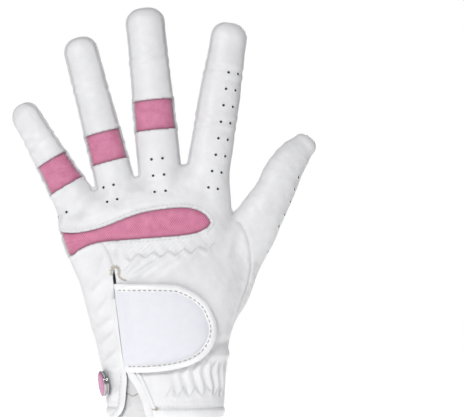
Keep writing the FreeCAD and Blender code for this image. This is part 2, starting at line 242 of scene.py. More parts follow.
def thumb_distance(p):
    best = np.full(len(p), 1e9)
    result = np.full(len(p), 1e9)
    last = len(THUMB_FINE) - 2
    for i in range(last + 1):
        start, end = THUMB_FINE[i], THUMB_FINE[i + 1]
        axis = end[:3] - start[:3]
        t = ((p - start[:3]) @ axis) / (axis @ axis)
        held = np.clip(t, 0, 1)
        rel = p - (start[:3] + held[:, None] * axis)
        size = start[4:] + held[:, None] * (end[4:] - start[4:])
        across, palmwards, along = directions((start[3] + end[3]) / 2, THUMB_RISE * min(1, 0.5 + i / 14))
        over = rel @ along
        reach = 6.0 if i == last else 9.0
        value = rounded_distance(rel @ across, rel @ palmwards, over / reach, size[:, 0], size[:, 1])
        away = (rel ** 2).sum(1)
        closer = away < best
        best = np.where(closer, away, best)
        result = np.where(closer, value, result)
    return result


def soft_union(a, b, k):
    h = np.clip(0.5 + 0.5 * (b - a) / k, 0, 1)
    return b * (1 - h) + a * h - k * h * (1 - h)


def glove_distance(p):
    """Signed distance, about, to the smooth filled glove."""
    total = palm_distance(p)
    for name in FINGERS:
        total = soft_union(total, finger_distance(name, p), 3.6)
    return soft_union(total, thumb_distance(p), 6.0)


def gradient(field, p, h=0.15):
    out = np.empty_like(p)
    for i in range(3):
        step = np.zeros(3)
        step[i] = h
        out[:, i] = (field(p + step) - field(p - step)) / (2 * h)
    return out


def settle(p, rounds=2):
    """Moves points onto the smooth surface."""
    for _ in range(rounds):
        value = glove_distance(p)
        slope = gradient(glove_distance, p)
        p = p - slope * (value / np.maximum((slope ** 2).sum(1), 0.2))[:, None]
    return p


# ---------------------------------------------------------------- meshing

def surface_net(low, high, step):
    """Triangle mesh of the glove surface from a grid of distances."""
    axes = [np.arange(low[i], high[i] + step, step) for i in range(3)]
    shape = [len(a) for a in axes]
    values = np.empty(shape, np.float32)
    yy, zz = np.meshgrid(axes[1], axes[2], indexing="ij")
    for i, x in enumerate(axes[0]):
        p = np.stack([np.full(yy.size, x), yy.ravel(), zz.ravel()], axis=1)
        values[i] = glove_distance(p).reshape(yy.shape)
    inside = values < 0
    corners = [(i, j, k) for i in (0, 1) for j in (0, 1) for k in (0, 1)]

    def shifted(array, c):
        return array[c[0]:shape[0] - 1 + c[0], c[1]:shape[1] - 1 + c[1], c[2]:shape[2] - 1 + c[2]]

    count = sum(shifted(inside, c).astype(np.int8) for c in corners)
    active = (count > 0) & (count < 8)
    index = np.full(active.shape, -1, np.int64)
    index[active] = np.arange(active.sum())
    cell = np.argwhere(active)
    points = crossing_points(values, cell, corners) * step + np.array([a[0] for a in axes])
    return points, net_faces(inside, index)


def crossing_points(values, cell, corners):
    """Mean place of the surface's crossings of each cell's edges, counted in cells."""
    total = np.zeros((len(cell), 3))
    hits = np.zeros(len(cell))
    for a in corners:
        for b in corners:
            if sum(b) - sum(a) != 1 or any(b[i] < a[i] for i in range(3)):
                continue
            va = values[cell[:, 0] + a[0], cell[:, 1] + a[1], cell[:, 2] + a[2]]
            vb = values[cell[:, 0] + b[0], cell[:, 1] + b[1], cell[:, 2] + b[2]]
            cross = (va < 0) != (vb < 0)
            t = np.where(cross, va / np.where(cross, va - vb, 1), 0)[:, None]
            point = np.array(a) + t * (np.array(b) - np.array(a))
            total += np.where(cross[:, None], point, 0)
            hits += cross
    return cell + total / hits[:, None]


def net_faces(inside, index):
    """A quad for each grid edge that crosses the surface, as two triangles."""
    shape = inside.shape
    faces = []
    for axis in range(3):
        one = np.zeros(3, int)
        one[axis] = 1
        others = [i for i in range(3) if i != axis]
        first = inside[:shape[0] - one[0], :shape[1] - one[1], :shape[2] - one[2]]
        second = inside[one[0]:, one[1]:, one[2]:]
        edge = np.argwhere(first != second)
        keep = np.all(edge[:, others] > 0, axis=1)
        keep &= np.all(edge[:, others] < np.array(shape)[others] - 1, axis=1)
        edge = edge[keep]
        flip = first[edge[:, 0], edge[:, 1], edge[:, 2]]
        da = np.zeros(3, int)
        db = np.zeros(3, int)
        da[others[0]] = 1
        db[others[1]] = 1
        quad = [index[tuple((edge - o).T)] for o in (np.zeros(3, int), da, da + db, db)]
        quad = np.stack(quad, axis=1)
        turn = flip if axis != 1 else ~flip
        quad[~turn] = quad[~turn][:, ::-1]
        faces.append(quad)
    quads = np.concatenate(faces)
    return np.concatenate([quads[:, [0, 1, 2]], quads[:, [0, 2, 3]]])


def cut(points, faces, field, snap=0.13):
    """Splits triangles along the zero line of a field, given at points by a function."""
    value = field(points)
    value[np.abs(value) < snap] = 0
    sign = np.sign(value)
    corner = sign[faces]
    crossing = (corner.min(1) < 0) & (corner.max(1) > 0)
    kept = faces[~crossing]
    new_points = []
    made = {}
    pieces = []

    def between(i, j):
        key = (i, j) if i < j else (j, i)
        if key not in made:
            a, b = key
            t = value[a] / (value[a] - value[b])
            made[key] = len(points) + len(new_points)
            new_points.append(points[a] + t * (points[b] - points[a]))
        return made[key]

    for tri in faces[crossing].tolist():
        s = [sign[i] for i in tri]
        if 0 in s:
            k = s.index(0)
            a, b, c = tri[k], tri[(k + 1) % 3], tri[(k + 2) % 3]
            m = between(b, c)
            pieces += [(a, b, m), (a, m, c)]
            continue
        alone = next(k for k in range(3) if s[k] != s[(k + 1) % 3] and s[k] != s[(k + 2) % 3])
        a, b, c = tri[alone], tri[(alone + 1) % 3], tri[(alone + 2) % 3]
        m, n = between(a, b), between(a, c)
        pieces += [(a, m, n), (m, b, c), (m, c, n)]
    if not pieces:
        return points, faces
    if new_points:
        points = np.concatenate([points, np.array(new_points)])
    return points, np.concatenate([kept, np.array(pieces, dtype=faces.dtype)])


def compact(points, faces):
    used = np.unique(faces)
    where = np.full(len(points), -1)
    where[used] = np.arange(len(used))
    return points[used], where[faces]


def vertex_normals(points, faces):
    a, b, c = points[faces[:, 0]], points[faces[:, 1]], points[faces[:, 2]]
    face_normal = np.cross(b - a, c - a)
    out = np.zeros_like(points)
    for i in range(3):
        for k in range(3):
            out[:, k] += np.bincount(faces[:, i], face_normal[:, k], len(points))
    return unit(out)


# ---------------------------------------------------------------- panel lines

def spline_points(points, closed, per_span=8):
    """Smooth curve through points, as many short steps."""
    p = np.array(points, float)
    n = len(p)
    out = []
    for i in range(n if closed else n - 1):
        if closed:
            a, b, c, d = p[i - 1], p[i], p[(i + 1) % n], p[(i + 2) % n]
        else:
            a, b, c, d = p[max(i - 1, 0)], p[i], p[i + 1], p[min(i + 2, n - 1)]
        for k in range(per_span):
            t = k / per_span
            out.append(0.5 * (2 * b + (c - a) * t + (2 * a - 5 * b + 4 * c - d) * t ** 2
                              + (3 * b - a - 3 * c + d) * t ** 3))
    if not closed:
        out.append(p[-1])
    return np.array(out)


def line_distance(p, line):
    """Distance in the x, z plane to an open line."""
    x, z = p[:, 0], p[:, 2]
    best = np.full(len(p), 1e9)
    for (x0, z0), (x1, z1) in zip(line[:-1], line[1:]):
        dx, dz = x1 - x0, z1 - z0
        t = np.clip(((x - x0) * dx + (z - z0) * dz) / max(dx * dx + dz * dz, 1e-9), 0, 1)
        best = np.minimum(best, (x - x0 - t * dx) ** 2 + (z - z0 - t * dz) ** 2)
    return np.sqrt(best)


def outline_distance(p, outline):
    """Signed distance in the x, z plane to a closed outline; negative inside."""
    x, z = p[:, 0], p[:, 2]
    ring = np.concatenate([outline, outline[:1]])
    inside = np.zeros(len(p), bool)
    for (x0, z0), (x1, z1) in zip(ring[:-1], ring[1:]):
        if z0 != z1:
            crosses = (z0 > z) != (z1 > z)
            inside ^= crosses & (x < x0 + (z - z0) * (x1 - x0) / (z1 - z0))
    return np.where(inside, -1, 1) * line_distance(p, ring)


def part_smooth(outline, count):
    """Outline with its first corners, up to count, joined smoothly and the rest left straight."""
    return np.concatenate([spline_points(outline[:count], False, 6), np.array(outline[count:], float)])


SLIT_CURVE = spline_points(SLIT, True, 5)
PANEL_CURVE = spline_points(KNUCKLE_PANEL, True, 6)
THUMB_PALM_CURVE = part_smooth(THUMB_PALM_OUTLINE, 10)
THUMB_BACK_CURVE = part_smooth(THUMB_BACK_OUTLINE, 8)
HEEL_CURVE = part_smooth(HEEL_PATCH, 8)
TAB_CURVE = spline_points(TAB, False, 8)
RIGHT_EDGE_CURVE = spline_points(SLIT_RIGHT_EDGE, False, 6)
LEFT_EDGE_CURVE = spline_points(SLIT_LEFT_EDGE, False, 6)
TUCK_CURVE = spline_points(CUFF_TUCK, False, 6)


def slit_field(p):
    return np.maximum(outline_distance(p, SLIT_CURVE), p[:, 1] + 6)


def knuckle_panel_field(p):
    return np.maximum(outline_distance(p, PANEL_CURVE), p[:, 1] - SEAM_Y)


def placket_field(p):
    """Little-finger side of the cuff, left of the slit and its seam up to the knuckle panel."""
    return np.maximum(outline_distance(p, PLACKET), p[:, 1] - SEAM_Y)


def heel_field(p):
    return np.maximum(outline_distance(p, HEEL_CURVE), SEAM_Y - p[:, 1])


def hem_field(p):
    return p[:, 2] - HEM_HEIGHT


def thumb_membership(p):
    """Negative where the thumb tube is nearer than the fingers."""
    others = np.min([finger_distance(n, p) for n in FINGERS], axis=0)
    return thumb_distance(p) - others


def thumb_along(p):
    along = directions(THUMB_KNUCKLE_LEAN, THUMB_RISE)[2]
    return (p - THUMB_KNUCKLE) @ along


def thumb_panel_field(p):
    palm_side = np.maximum(outline_distance(p, THUMB_PALM_CURVE), 4 - p[:, 1])
    back_side = np.maximum(outline_distance(p, THUMB_BACK_CURVE), p[:, 1] - 4)
    return np.maximum(np.minimum(palm_side, back_side), thumb_membership(p))


class FingerFields:
    """Which finger each point is nearest to, and its place on it."""

    def __init__(self, p):
        self.p = p
        self.distance = np.stack([finger_distance(n, p) for n in FINGERS])
        self.nearest = self.distance.argmin(0)
        places = [finger_coordinates(n, p) for n in FINGERS]
        weight = np.exp(-np.clip(self.distance - self.distance.min(0), 0, 20) / 1.5)
        weight /= weight.sum(0)
        self.v = sum(w * place[1] for w, place in zip(weight, places))
        self.u = np.choose(self.nearest, [place[0] for place in places])
        self.d = [place[2] for place in places]

    def seam(self):
        """Height over the side seam: from the finger sides down into the side of the palm."""
        mix = ease(np.clip((self.p[:, 2] - 98) / 16, 0, 1))
        return self.v * mix + (self.p[:, 1] - SEAM_Y) * (1 - mix)

    def side_strip(self):
        """Half width of the strips, which lie between fingers only and narrow to nothing over the tips."""
        inward = np.select([self.nearest == 0, self.nearest == 3], [-self.u, self.u], STRIP_TAPER)
        return SIDE_STRIP * np.clip(inward / STRIP_TAPER, 0, 1) * (self.p[:, 2] > 100)

    def beyond(self, name, distance):
        """Negative past a plane across one finger."""
        i = list(FINGERS).index(name)
        others = np.min(np.delete(self.distance, i, axis=0), axis=0)
        return np.maximum(self.d[i] - distance, self.distance[i] - others)


def back_seam_field(p):
    f = FingerFields(p)
    return f.seam() + f.side_strip()


def palm_seam_field(p):
    f = FingerFields(p)
    return f.seam() - f.side_strip()


def insert_field(name):
    def field(p):
        f = FingerFields(p)
        joint = FINGERS[name]["joints"][0]
        i = list(FINGERS).index(name)
        others = np.min(np.delete(f.distance, i, axis=0), axis=0)
        band = np.abs(f.d[i] - joint) - INSERT_HALF
        side = f.v + SIDE_STRIP * 0.6
        return np.max([band, side, f.distance[i] - others], axis=0)
    return field


def finger_cut_field(name, distance):
    def field(p):
        return FingerFields(p).beyond(name, distance)
    return field


def thumb_cut_field(distance):
    def field(p):
        return np.maximum(distance - thumb_along(p), thumb_membership(p))
    return field


def thumb_side_field(p):
    """Seam between the back and the pad of the thumb, along its curved centre line."""
    palmwards = directions(THUMB_MIDDLE_LEAN, THUMB_RISE)[1]
    centre = THUMB_FINE[:, :3]
    height = np.interp(thumb_along(p), thumb_along(centre), (centre - THUMB_MIDDLE) @ palmwards)
    return (p - THUMB_MIDDLE) @ palmwards - height


def thumb_seam_field(p):
    """The thumb seam only where the thumb is its own tube."""
    beyond = np.maximum(THUMB_CUTS[0] - thumb_along(p), thumb_membership(p))
    side = thumb_side_field(p)
    return np.where(beyond < 0, side, np.sign(side + 1e-6) * np.maximum(np.abs(side), beyond))


def label_faces(points, faces):
    """Panel and segment names of each face."""
    c = points[faces].mean(1)
    f = FingerFields(c)
    seam = f.seam()
    strip = f.side_strip()
    panel = np.where(seam < -strip, "back", np.where(seam > strip, "palm", "side")).astype(object)
    segment = np.full(len(c), "hand", object)
    thumb = thumb_membership(c) < 0
    along = thumb_along(c)
    for name in FINGERS:
        first, second = FINGERS[name]["cuts"]
        own = ~thumb
        segment[own & (f.beyond(name, first) < 0)] = name + "_1"
        segment[own & (f.beyond(name, second) < 0)] = name + "_2"
        if name in FINGERS_WITH_INSERT:
            panel[own & (insert_field(name)(c) < 0)] = "insert"
    low = ~thumb | (along < THUMB_CUTS[0])
    segment[thumb & (along >= THUMB_CUTS[0])] = "thumb_1"
    segment[thumb & (along >= THUMB_CUTS[1])] = "thumb_2"
    side = thumb_side_field(c)
    beyond = thumb & (along >= THUMB_CUTS[0])
    panel[beyond] = np.where(side[beyond] < 0, "back", "palm")
    hand = segment == "hand"
    panel[hand & low & (thumb_panel_field(c) < 0)] = "thumb"
    plain = hand & (panel != "thumb")
    panel[plain & (placket_field(c) < 0)] = "placket"
    panel[plain & (knuckle_panel_field(c) < 0)] = "knuckle"
    panel[plain & (heel_field(c) < 0)] = "heel"
    panel[c[:, 2] < HEM_HEIGHT] = "hem"
    return panel, segment


# ---------------------------------------------------------------- base skin

def build_skin():
    points, faces = surface_net(SKIN_BOX_LOW, SKIN_BOX_HIGH, GRID_STEP)
    points = settle(points, 2)
    points, faces = cut(points, faces, lambda p: p[:, 2].copy())
    faces = faces[points[faces].mean(1)[:, 2] > 0]
    points, faces = compact(points, faces)
    fields = [slit_field, hem_field, thumb_panel_field, knuckle_panel_field, placket_field, heel_field,
              back_seam_field, palm_seam_field, thumb_seam_field]
    fields += [insert_field(n) for n in FINGERS_WITH_INSERT]
    fields += [finger_cut_field(n, d) for n in FINGERS for d in FINGERS[n]["cuts"]]
    fields += [thumb_cut_field(d) for d in THUMB_CUTS]
    for field in fields:
        points, faces = cut(points, faces, field)
    faces = faces[slit_field(points[faces].mean(1)) > 0]
    points, faces = compact(points, faces)
    return points, faces


# ---------------------------------------------------------------- relief: seams, folds and gathers

# folds seen from the back, as x, z at both ends, width, height
BACK_FOLDS = [
    (-17.5, 69.2, -1.5, 79.6, 1.5, 0.85), (-20.5, 71.5, -12.0, 80.0, 1.2, 0.7),
    (-11.0, 69.5, 6.0, 80.8, 1.8, 0.65), (-2.0, 69.5, 15.0, 82.0, 2.2, 0.45),
    (-28.0, 76.0, -24.0, 88.0, 2.0, 0.4), (-33.0, 70.0, -29.0, 84.0, 1.8, 0.45),
    (-36.0, 62.0, -27.5, 72.0, 1.8, 0.5), (-33.5, 52.0, -27.0, 60.0, 1.6, 0.5),
    (-33.0, 44.0, -25.0, 50.0, 1.8, 0.55), (-32.0, 36.0, -24.0, 43.0, 1.6, 0.55),
    (-30.0, 27.0, -22.5, 34.0, 1.7, 0.6), (-28.5, 23.5, -21.5, 25.0, 1.6, 0.5),
    (-26.0, 9.0, -21.5, 15.0, 1.5, 0.5), (23.0, 30.0, 33.0, 31.5, 2.2, 0.9),
    (26.0, 36.5, 35.0, 38.5, 2.4, -0.7), (28.0, 62.0, 37.0, 78.0, 3.2, 0.55),
    (30.5, 80.0, 36.0, 96.0, 2.4, 0.5), (22.0, 84.0, 31.0, 97.0, 3.0, -0.35),
    (-24.0, 106.0, -19.5, 118.0, 3.0, -0.45), (4.0, 112.0, 8.0, 125.0, 3.0, -0.45),
    (-45.0, 101.0, -40.5, 111.0, 2.6, -0.4), (24.0, 108.0, 28.0, 124.0, 3.5, 0.3),
    (-53.0, 93.0, -49.0, 104.0, 1.6, 0.4), (-44.0, 96.5, -38.0, 100.5, 1.8, 0.3),
]
PALM_FOLDS = [
    (-47.0, 92.0, -20.0, 96.5, 1.3, -0.8), (-20.0, 96.5, 6.0, 104.0, 1.3, -0.7),
    (-30.0, 104.0, 18.0, 113.0, 1.5, -0.6), (-50.0, 97.0, -40.0, 106.0, 1.4, -0.5),
    (6.0, 104.0, 24.0, 108.0, 1.5, -0.6), (-24.0, 30.0, -6.0, 33.0, 1.6, -0.5),
    (-10.0, 40.0, 6.0, 44.0, 2.2, 0.4), (4.0, 60.0, 0.0, 80.0, 2.6, -0.5),
    (-2.0, 84.0, 6.0, 96.0, 1.8, -0.45), (24.0, 60.0, 34.0, 72.0, 2.2, -0.35),
    (26.0, 84.0, 38.0, 92.0, 1.8, -0.5), (-12.0, 26.0, 14.0, 29.0, 1.5, -0.45),
]
KNUCKLE_ZIGZAG = [(-20, 77.5), (-11, 79.3), (0, 80.0), (10, 81.3), (20, 82.8), (26, 85.0)]
ZIGZAG_PITCH = 7.6


def fold_relief(p, folds):
    out = np.zeros(len(p))
    for x0, z0, x1, z1, width, height in folds:
        dx, dz = x1 - x0, z1 - z0
        t = ((p[:, 0] - x0) * dx + (p[:, 2] - z0) * dz) / (dx * dx + dz * dz)
        near = np.clip(t, 0, 1)
        across = (p[:, 0] - x0 - near * dx) ** 2 + (p[:, 2] - z0 - near * dz) ** 2
        taper = np.sin(np.pi * np.clip(0.12 + 0.76 * t, 0, 1))
        out += height * taper * np.exp(-across / width ** 2)
    return out


def ridge(x, width):
    """Soft ridge of height 1 along x = 0."""
    return np.exp(-(x / width) ** 2)


def wave(x, pitch):
    return np.sin(2 * math.pi * x / pitch)


def window(x, low, high, soft):
    """1 between low and high, falling softly to 0 outside."""
    a = np.clip((x - low) / soft + 0.5, 0, 1)
    b = np.clip((high - x) / soft + 0.5, 0, 1)
    return a * a * (3 - 2 * a) * b * b * (3 - 2 * b)


def soft_noise(p, size, seed):
    """Smooth unevenness from a few slanted waves."""
    rng = np.random.default_rng(seed)
    out = np.zeros(len(p))
    for _ in range(9):
        direction = rng.normal(size=3)
        direction /= np.linalg.norm(direction) * size * rng.uniform(0.7, 1.5)
        bend = rng.normal(size=3) / (size * 2.5)
        out += np.sin(2 * math.pi * (p @ direction) + rng.uniform(0, 6.28) + 1.7 * np.sin(p @ bend * 6.28))
    return out / 4.2


def round_the_cuff(p):
    """Distance round the wrist in millimetres, zero at the middle of the back."""
    h = p[:, 2]
    a = np.interp(h, PALM_SECTIONS[:, 0], PALM_SECTIONS[:, 4])
    b = np.interp(h, PALM_SECTIONS[:, 0], PALM_SECTIONS[:, 5])
    cx = np.interp(h, PALM_SECTIONS[:, 0], PALM_SECTIONS[:, 2])
    return np.arctan2((p[:, 0] - cx) / a, -p[:, 1] / b) * (a + b) / 2


def tooth(x, pitch):
    """Triangle wave from 0 to 1."""
    t = np.mod(x / pitch, 1.0)
    return 1 - np.abs(2 * t - 1)


def step(x, soft):
    return 0.5 + 0.5 * np.tanh(x / soft)


def zigzag_height(x):
    keys = np.array(KNUCKLE_ZIGZAG, float)
    return np.interp(x, keys[:, 0], keys[:, 1]) + 3.1 * tooth(x + 2.0, ZIGZAG_PITCH)


def gather_relief(p):
    """Gathered leather over the elastics: under the knuckle panel and round the wrist."""
    x, y, z = p.T
    back = step(-y - 4, 2.0)
    out = np.zeros(len(p))
    under_panel = window(x, -19, 23, 5) * back
    line = zigzag_height(x)
    sunk = window(z - line, 0, 9, 0.9)
    out -= 0.55 * under_panel * sunk
    flute = wave(x * 0.8 + z * 0.55, 4.4)
    out += 0.1 * under_panel * sunk * flute
    out += 0.17 * under_panel * sunk * wave(x, 2.7) * wave(z, 2.7)
    out += 0.35 * under_panel * ridge(z - line + 1.3, 1.3)
    s = round_the_cuff(p)
    right = window(s, 3.5, 40, 4) * back
    flute = wave(s + 0.8 * np.sin(z / 3.0), 4.7)
    edge = 10.5 + 4.6 * tooth(s + 1, 5.6)
    gathered = window(z - edge, 0, 15, 1.2)
    out += right * gathered * (0.62 * flute - 0.25)
    out += 0.32 * right * ridge(z - edge + 0.9, 0.9)
    palm = step(y - 3, 2.5)
    row = 2.2 * tooth(s, 5.2)
    flute = wave(s + 0.7 * np.sin(z / 2.6), 4.4)
    gathered = window(z - row, 9.0, 24.5, 1.6)
    out += palm * gathered * (0.6 * flute - 0.2)
    out += 0.4 * palm * ridge(z - row - 24.8, 1.2)
    out += 0.35 * palm * ridge(z - row - 8.2, 1.0)
    return out


def joint_relief(p, fields):
    """Shallow creases over the finger joints, stronger on the palm side."""
    out = np.zeros(len(p))
    for i, name in enumerate(FINGERS):
        own = fields.nearest == i
        d = fields.d[i]
        first, second = FINGERS[name]["joints"]
        palm = step(fields.v - 2, 2.0)
        back = 1 - palm
        for centre, depth in ((first, 0.55), (second, 0.45)):
            for shift, share in ((0.0, 1.0), (2.6, 0.45), (-2.8, 0.4)):
                bend = 0.5 * np.sin(fields.u * 0.35 + i + shift)
                out -= own * palm * depth * share * ridge(d - centre - shift - bend, 0.9)
            out += own * back * 0.22 * np.sin((d - centre) * 1.15 + i) * ridge(d - centre, 6.0)
    return np.where(thumb_membership(p) < 0, 0.0, out)


def seam_distances(points, faces, panel):
    """Distance of every vertex to the nearest seam, and to the nearest edge of stretch fabric."""
    fabric = np.isin(panel.astype(str), ["insert", "knuckle"])
    names = {n: i for i, n in enumerate(sorted(set(panel)))}
    code = np.array([names[n] for n in panel])
    low = np.full(len(points), 99)
    high = np.full(len(points), -1)
    soft_low = np.ones(len(points), bool)
    soft_any = np.zeros(len(points), bool)
    for i in range(3):
        np.minimum.at(low, faces[:, i], code)
        np.maximum.at(high, faces[:, i], code)
        np.logical_and.at(soft_low, faces[:, i], fabric)
        np.logical_or.at(soft_any, faces[:, i], fabric)
    on_seam = low != high
    on_fabric = soft_any & ~soft_low

    def distance(mask):
        tree = KDTree(int(mask.sum()))
        for k, i in enumerate(np.flatnonzero(mask)):
            tree.insert(points[i], k)
        tree.balance()
        return np.array([tree.find(q)[2] for q in points])

    return distance(on_seam & ~on_fabric), distance(on_fabric), soft_any


def stretch_ruching(p):
    """Fine gathers along the little-finger end of the knuckle panel."""
    x, _, z = p.T
    line = z - 86.5 - 0.12 * (x + 45)
    return 0.22 * window(x, -60, -36, 8) * np.sin(2 * math.pi * line / 2.1 + 0.6 * np.sin(x / 3.0))


def apply_relief(points, faces, panel):
    normals = vertex_normals(points, faces)
    fields = FingerFields(points)
    seam, edge, fabric = seam_distances(points, faces, panel)
    back = step(-points[:, 1] + SEAM_Y - 1, 1.5)
    recess = -0.6 - 0.35 * ridge(edge, 0.9) + stretch_ruching(points)
    out = np.where(fabric, recess, 0.42 * ridge(edge - 0.8, 0.8))
    groove = -0.3 * ridge(seam, 0.8) + 0.12 * ridge(seam - 2.0, 1.2)
    out += np.where(fabric, 0, 1) * groove
    at_thumb_joint = (np.abs(thumb_along(points) - THUMB_CUTS[0]) < 3.5) & (thumb_membership(points) < 0)
    out = np.where(at_thumb_joint, 0.0, out)
    quiet = np.where(fabric, 0.25, 1.0)
    out += 1.5 * quiet * back * fold_relief(points, BACK_FOLDS)
    out += quiet * (1 - back) * fold_relief(points, PALM_FOLDS)
    out += quiet * gather_relief(points)
    out += quiet * joint_relief(points, fields)
    out += 0.16 * soft_noise(points, 17.0, 3) + 0.07 * soft_noise(points, 6.5, 8)
    heel = heel_field(points)
    raised = 0.55 * step(-heel, 0.5)
    heel_groove = -0.45 * ridge(heel, 0.55)
    out += (points[:, 1] > SEAM_Y) * (raised + heel_groove)
    z = points[:, 2]
    out += 0.3 * step(HEM_HEIGHT - 0.3 - z, 0.3) - 0.5 * ridge(z, 0.7)
    # painted shade: darker along the stretch fabric's edges, where the raised leather shades it, and along
    # the leather's seam grooves
    shade = np.where(fabric, np.exp(-edge / 0.7), 0.35 * ridge(seam, 0.5))
    shade = np.where(at_thumb_joint, 0.0, shade)
    return points + normals * out[:, None], shade


# ---------------------------------------------------------------- materials

def new_material(name, colour, roughness, **settings):
    material = bpy.data.materials.new(name)
    material.use_nodes = True
    shader = material.node_tree.nodes["Principled BSDF"]
    shader.inputs["Base Color"].default_value = (*colour, 1)
    shader.inputs["Roughness"].default_value = roughness
    for key, value in settings.items():
        shader.inputs[key.replace("_", " ")].default_value = value
    return material, material.node_tree, shader


def node(tree, kind, inputs=None, **properties):
    made = tree.nodes.new(kind)
    for key, value in properties.items():
        setattr(made, key, value)
    for key, value in (inputs or {}).items():
        if isinstance(value, bpy.types.NodeSocket):
            tree.links.new(value, made.inputs[key])
        else:
            made.inputs[key].default_value = value
    return made


def mix_colour(tree, factor, first, second):
    made = node(tree, "ShaderNodeMix", data_type="RGBA")
    tree.links.new(factor, made.inputs["Factor"])
    made.inputs[6].default_value = (*first, 1)
    made.inputs[7].default_value = (*second, 1)
    return made.outputs[2]


def darken_at_edges(tree, colour, dark):
    """Painted shade along seams and turned edges, from the mesh's own "shade" values."""
    amount = node(tree, "ShaderNodeAttribute", attribute_name="shade")
    made = node(tree, "ShaderNodeMix", {6: colour}, data_type="RGBA")
    made.inputs[7].default_value = (*dark, 1)
    tree.links.new(amount.outputs["Fac"], made.inputs["Factor"])
    return made.outputs[2]


def noise(tree, place, scale, detail, roughness=0.5):
    inputs = {"Vector": place, "Scale": scale, "Detail": detail, "Roughness": roughness}
    return node(tree, "ShaderNodeTexNoise", inputs).outputs["Fac"]


def wave_bands(tree, place, scale, direction, distortion, **more):
    inputs = {"Vector": place, "Scale": scale, "Distortion": distortion}
    inputs.update({key.replace("_", " "): value for key, value in more.items()})
    made = node(tree, "ShaderNodeTexWave", inputs, wave_type="BANDS", bands_direction=direction)
    return made.outputs["Fac"]


def remap(tree, value, low, high, to_low=0.0, to_high=1.0):
    inputs = {"Value": value, "From Min": low, "From Max": high, "To Min": to_low, "To Max": to_high}
    return node(tree, "ShaderNodeMapRange", inputs).outputs["Result"]


def combine(tree, operation, first, second):
    return node(tree, "ShaderNodeMath", {0: first, 1: second}, operation=operation).outputs[0]


def bump(tree, height, strength, distance, under=None):
    """Surface normal from a height in metres, laid over another one if given."""
    inputs = {"Height": height, "Strength": strength, "Distance": distance}
    if under is not None:
        inputs["Normal"] = under
    return node(tree, "ShaderNodeBump", inputs).outputs["Normal"]


def leather_material(name, light, dark, roughness, grain=0.35, cell=0.0009, crease=0.25):
    """Soft leather: pebbled grain, fine creases and slight colour change."""
    material, tree, shader = new_material(name, light, roughness, Sheen_Weight=0.15, Sheen_Roughness=0.5)
    place = node(tree, "ShaderNodeTexCoord").outputs["Object"]
    cells = node(tree, "ShaderNodeTexVoronoi", {"Vector": place, "Scale": 1 / cell, "Randomness": 1.0},
                 feature="DISTANCE_TO_EDGE")
    cloud = noise(tree, place, 70.0, 5.0, 0.6)
    fine = noise(tree, place, 520.0, 4.0, 0.65)
    colour = mix_colour(tree, remap(tree, cloud, 0.35, 0.7), light, dark)
    # painted shade colour for the leather's seam grooves
    seam_painted_shade = tuple(0.45 * c for c in dark)
    tree.links.new(darken_at_edges(tree, colour, seam_painted_shade), shader.inputs["Base Color"])
    rough = remap(tree, fine, 0.3, 0.7, roughness - 0.06, roughness + 0.08)
    tree.links.new(rough, shader.inputs["Roughness"])
    pores = remap(tree, cells.outputs["Distance"], 0.0, 0.12)
    creased = bump(tree, cloud, crease, 0.0006)
    grained = bump(tree, fine, grain * 0.8, 0.00015, creased)
    pebbled = bump(tree, pores, grain, 0.00008, grained)
    tree.links.new(pebbled, shader.inputs["Normal"])
    return material


def woven_material(name, light, dark, pitch, slant, roughness, strength=0.6):
    """Stretch fabric: ribs crossed by a finer thread, over the piece's own flat map in millimetres."""
    material, tree, shader = new_material(name, light, roughness, Sheen_Weight=0.25, Sheen_Roughness=0.4)
    place = node(tree, "ShaderNodeTexCoord").outputs["UV"]
    slanted = {"Vector": place, "Rotation": (0, 0, math.radians(slant))}
    turned = node(tree, "ShaderNodeMapping", slanted).outputs["Vector"]
    scale = 2 * math.pi / pitch / 20
    ribs = wave_bands(tree, turned, scale, "X", 0.5, Detail=1.0, Detail_Scale=2.0)
    threads = wave_bands(tree, turned, scale * 1.7, "Y", 0.8)
    crossed = combine(tree, "MULTIPLY", ribs, threads)
    amount = combine(tree, "ADD", crossed, noise(tree, place, 0.25, 3.0))
    colour = mix_colour(tree, remap(tree, amount, 0.35, 1.3), dark, light)
    # painted shade colour for the fabric's edges under the leather
    edge_painted_shade = tuple(0.55 * c for c in dark)
    tree.links.new(darken_at_edges(tree, colour, edge_painted_shade), shader.inputs["Base Color"])
    tree.links.new(bump(tree, crossed, strength, 0.0002), shader.inputs["Normal"])
    return material


def metal_material(name, colour, roughness):
    material, tree, shader = new_material(name, colour, roughness, Metallic=1.0)
    place = node(tree, "ShaderNodeTexCoord").outputs["Object"]
    rough = remap(tree, noise(tree, place, 900.0, 4.0), 0.0, 1.0, roughness * 0.6, roughness * 1.6)
    tree.links.new(rough, shader.inputs["Roughness"])
    return material


def enamel_material(name, light, dark):
    """Clear-coated enamel, a little darker and cloudier in places."""
    material, tree, shader = new_material(name, light, 0.4, Coat_Weight=0.35, Coat_Roughness=0.12)
    place = node(tree, "ShaderNodeTexCoord").outputs["Object"]
    cloud = noise(tree, place, 260.0, 3.0)
    colour = mix_colour(tree, remap(tree, cloud, 0.45, 0.9), light, dark)
    tree.links.new(colour, shader.inputs["Base Color"])
    tree.links.new(bump(tree, cloud, 0.15, 0.0001), shader.inputs["Normal"])
    return material


def thread_material(name, light, dark):
    """Twisted sewing thread."""
    material, tree, shader = new_material(name, light, 0.55, Sheen_Weight=0.3)
    place = node(tree, "ShaderNodeTexCoord").outputs["Object"]
    twist = wave_bands(tree, place, 520.0, "DIAGONAL", 1.5)
    tree.links.new(mix_colour(tree, twist, dark, light), shader.inputs["Base Color"])
    tree.links.new(bump(tree, twist, 0.5, 0.0001), shader.inputs["Normal"])
    return material


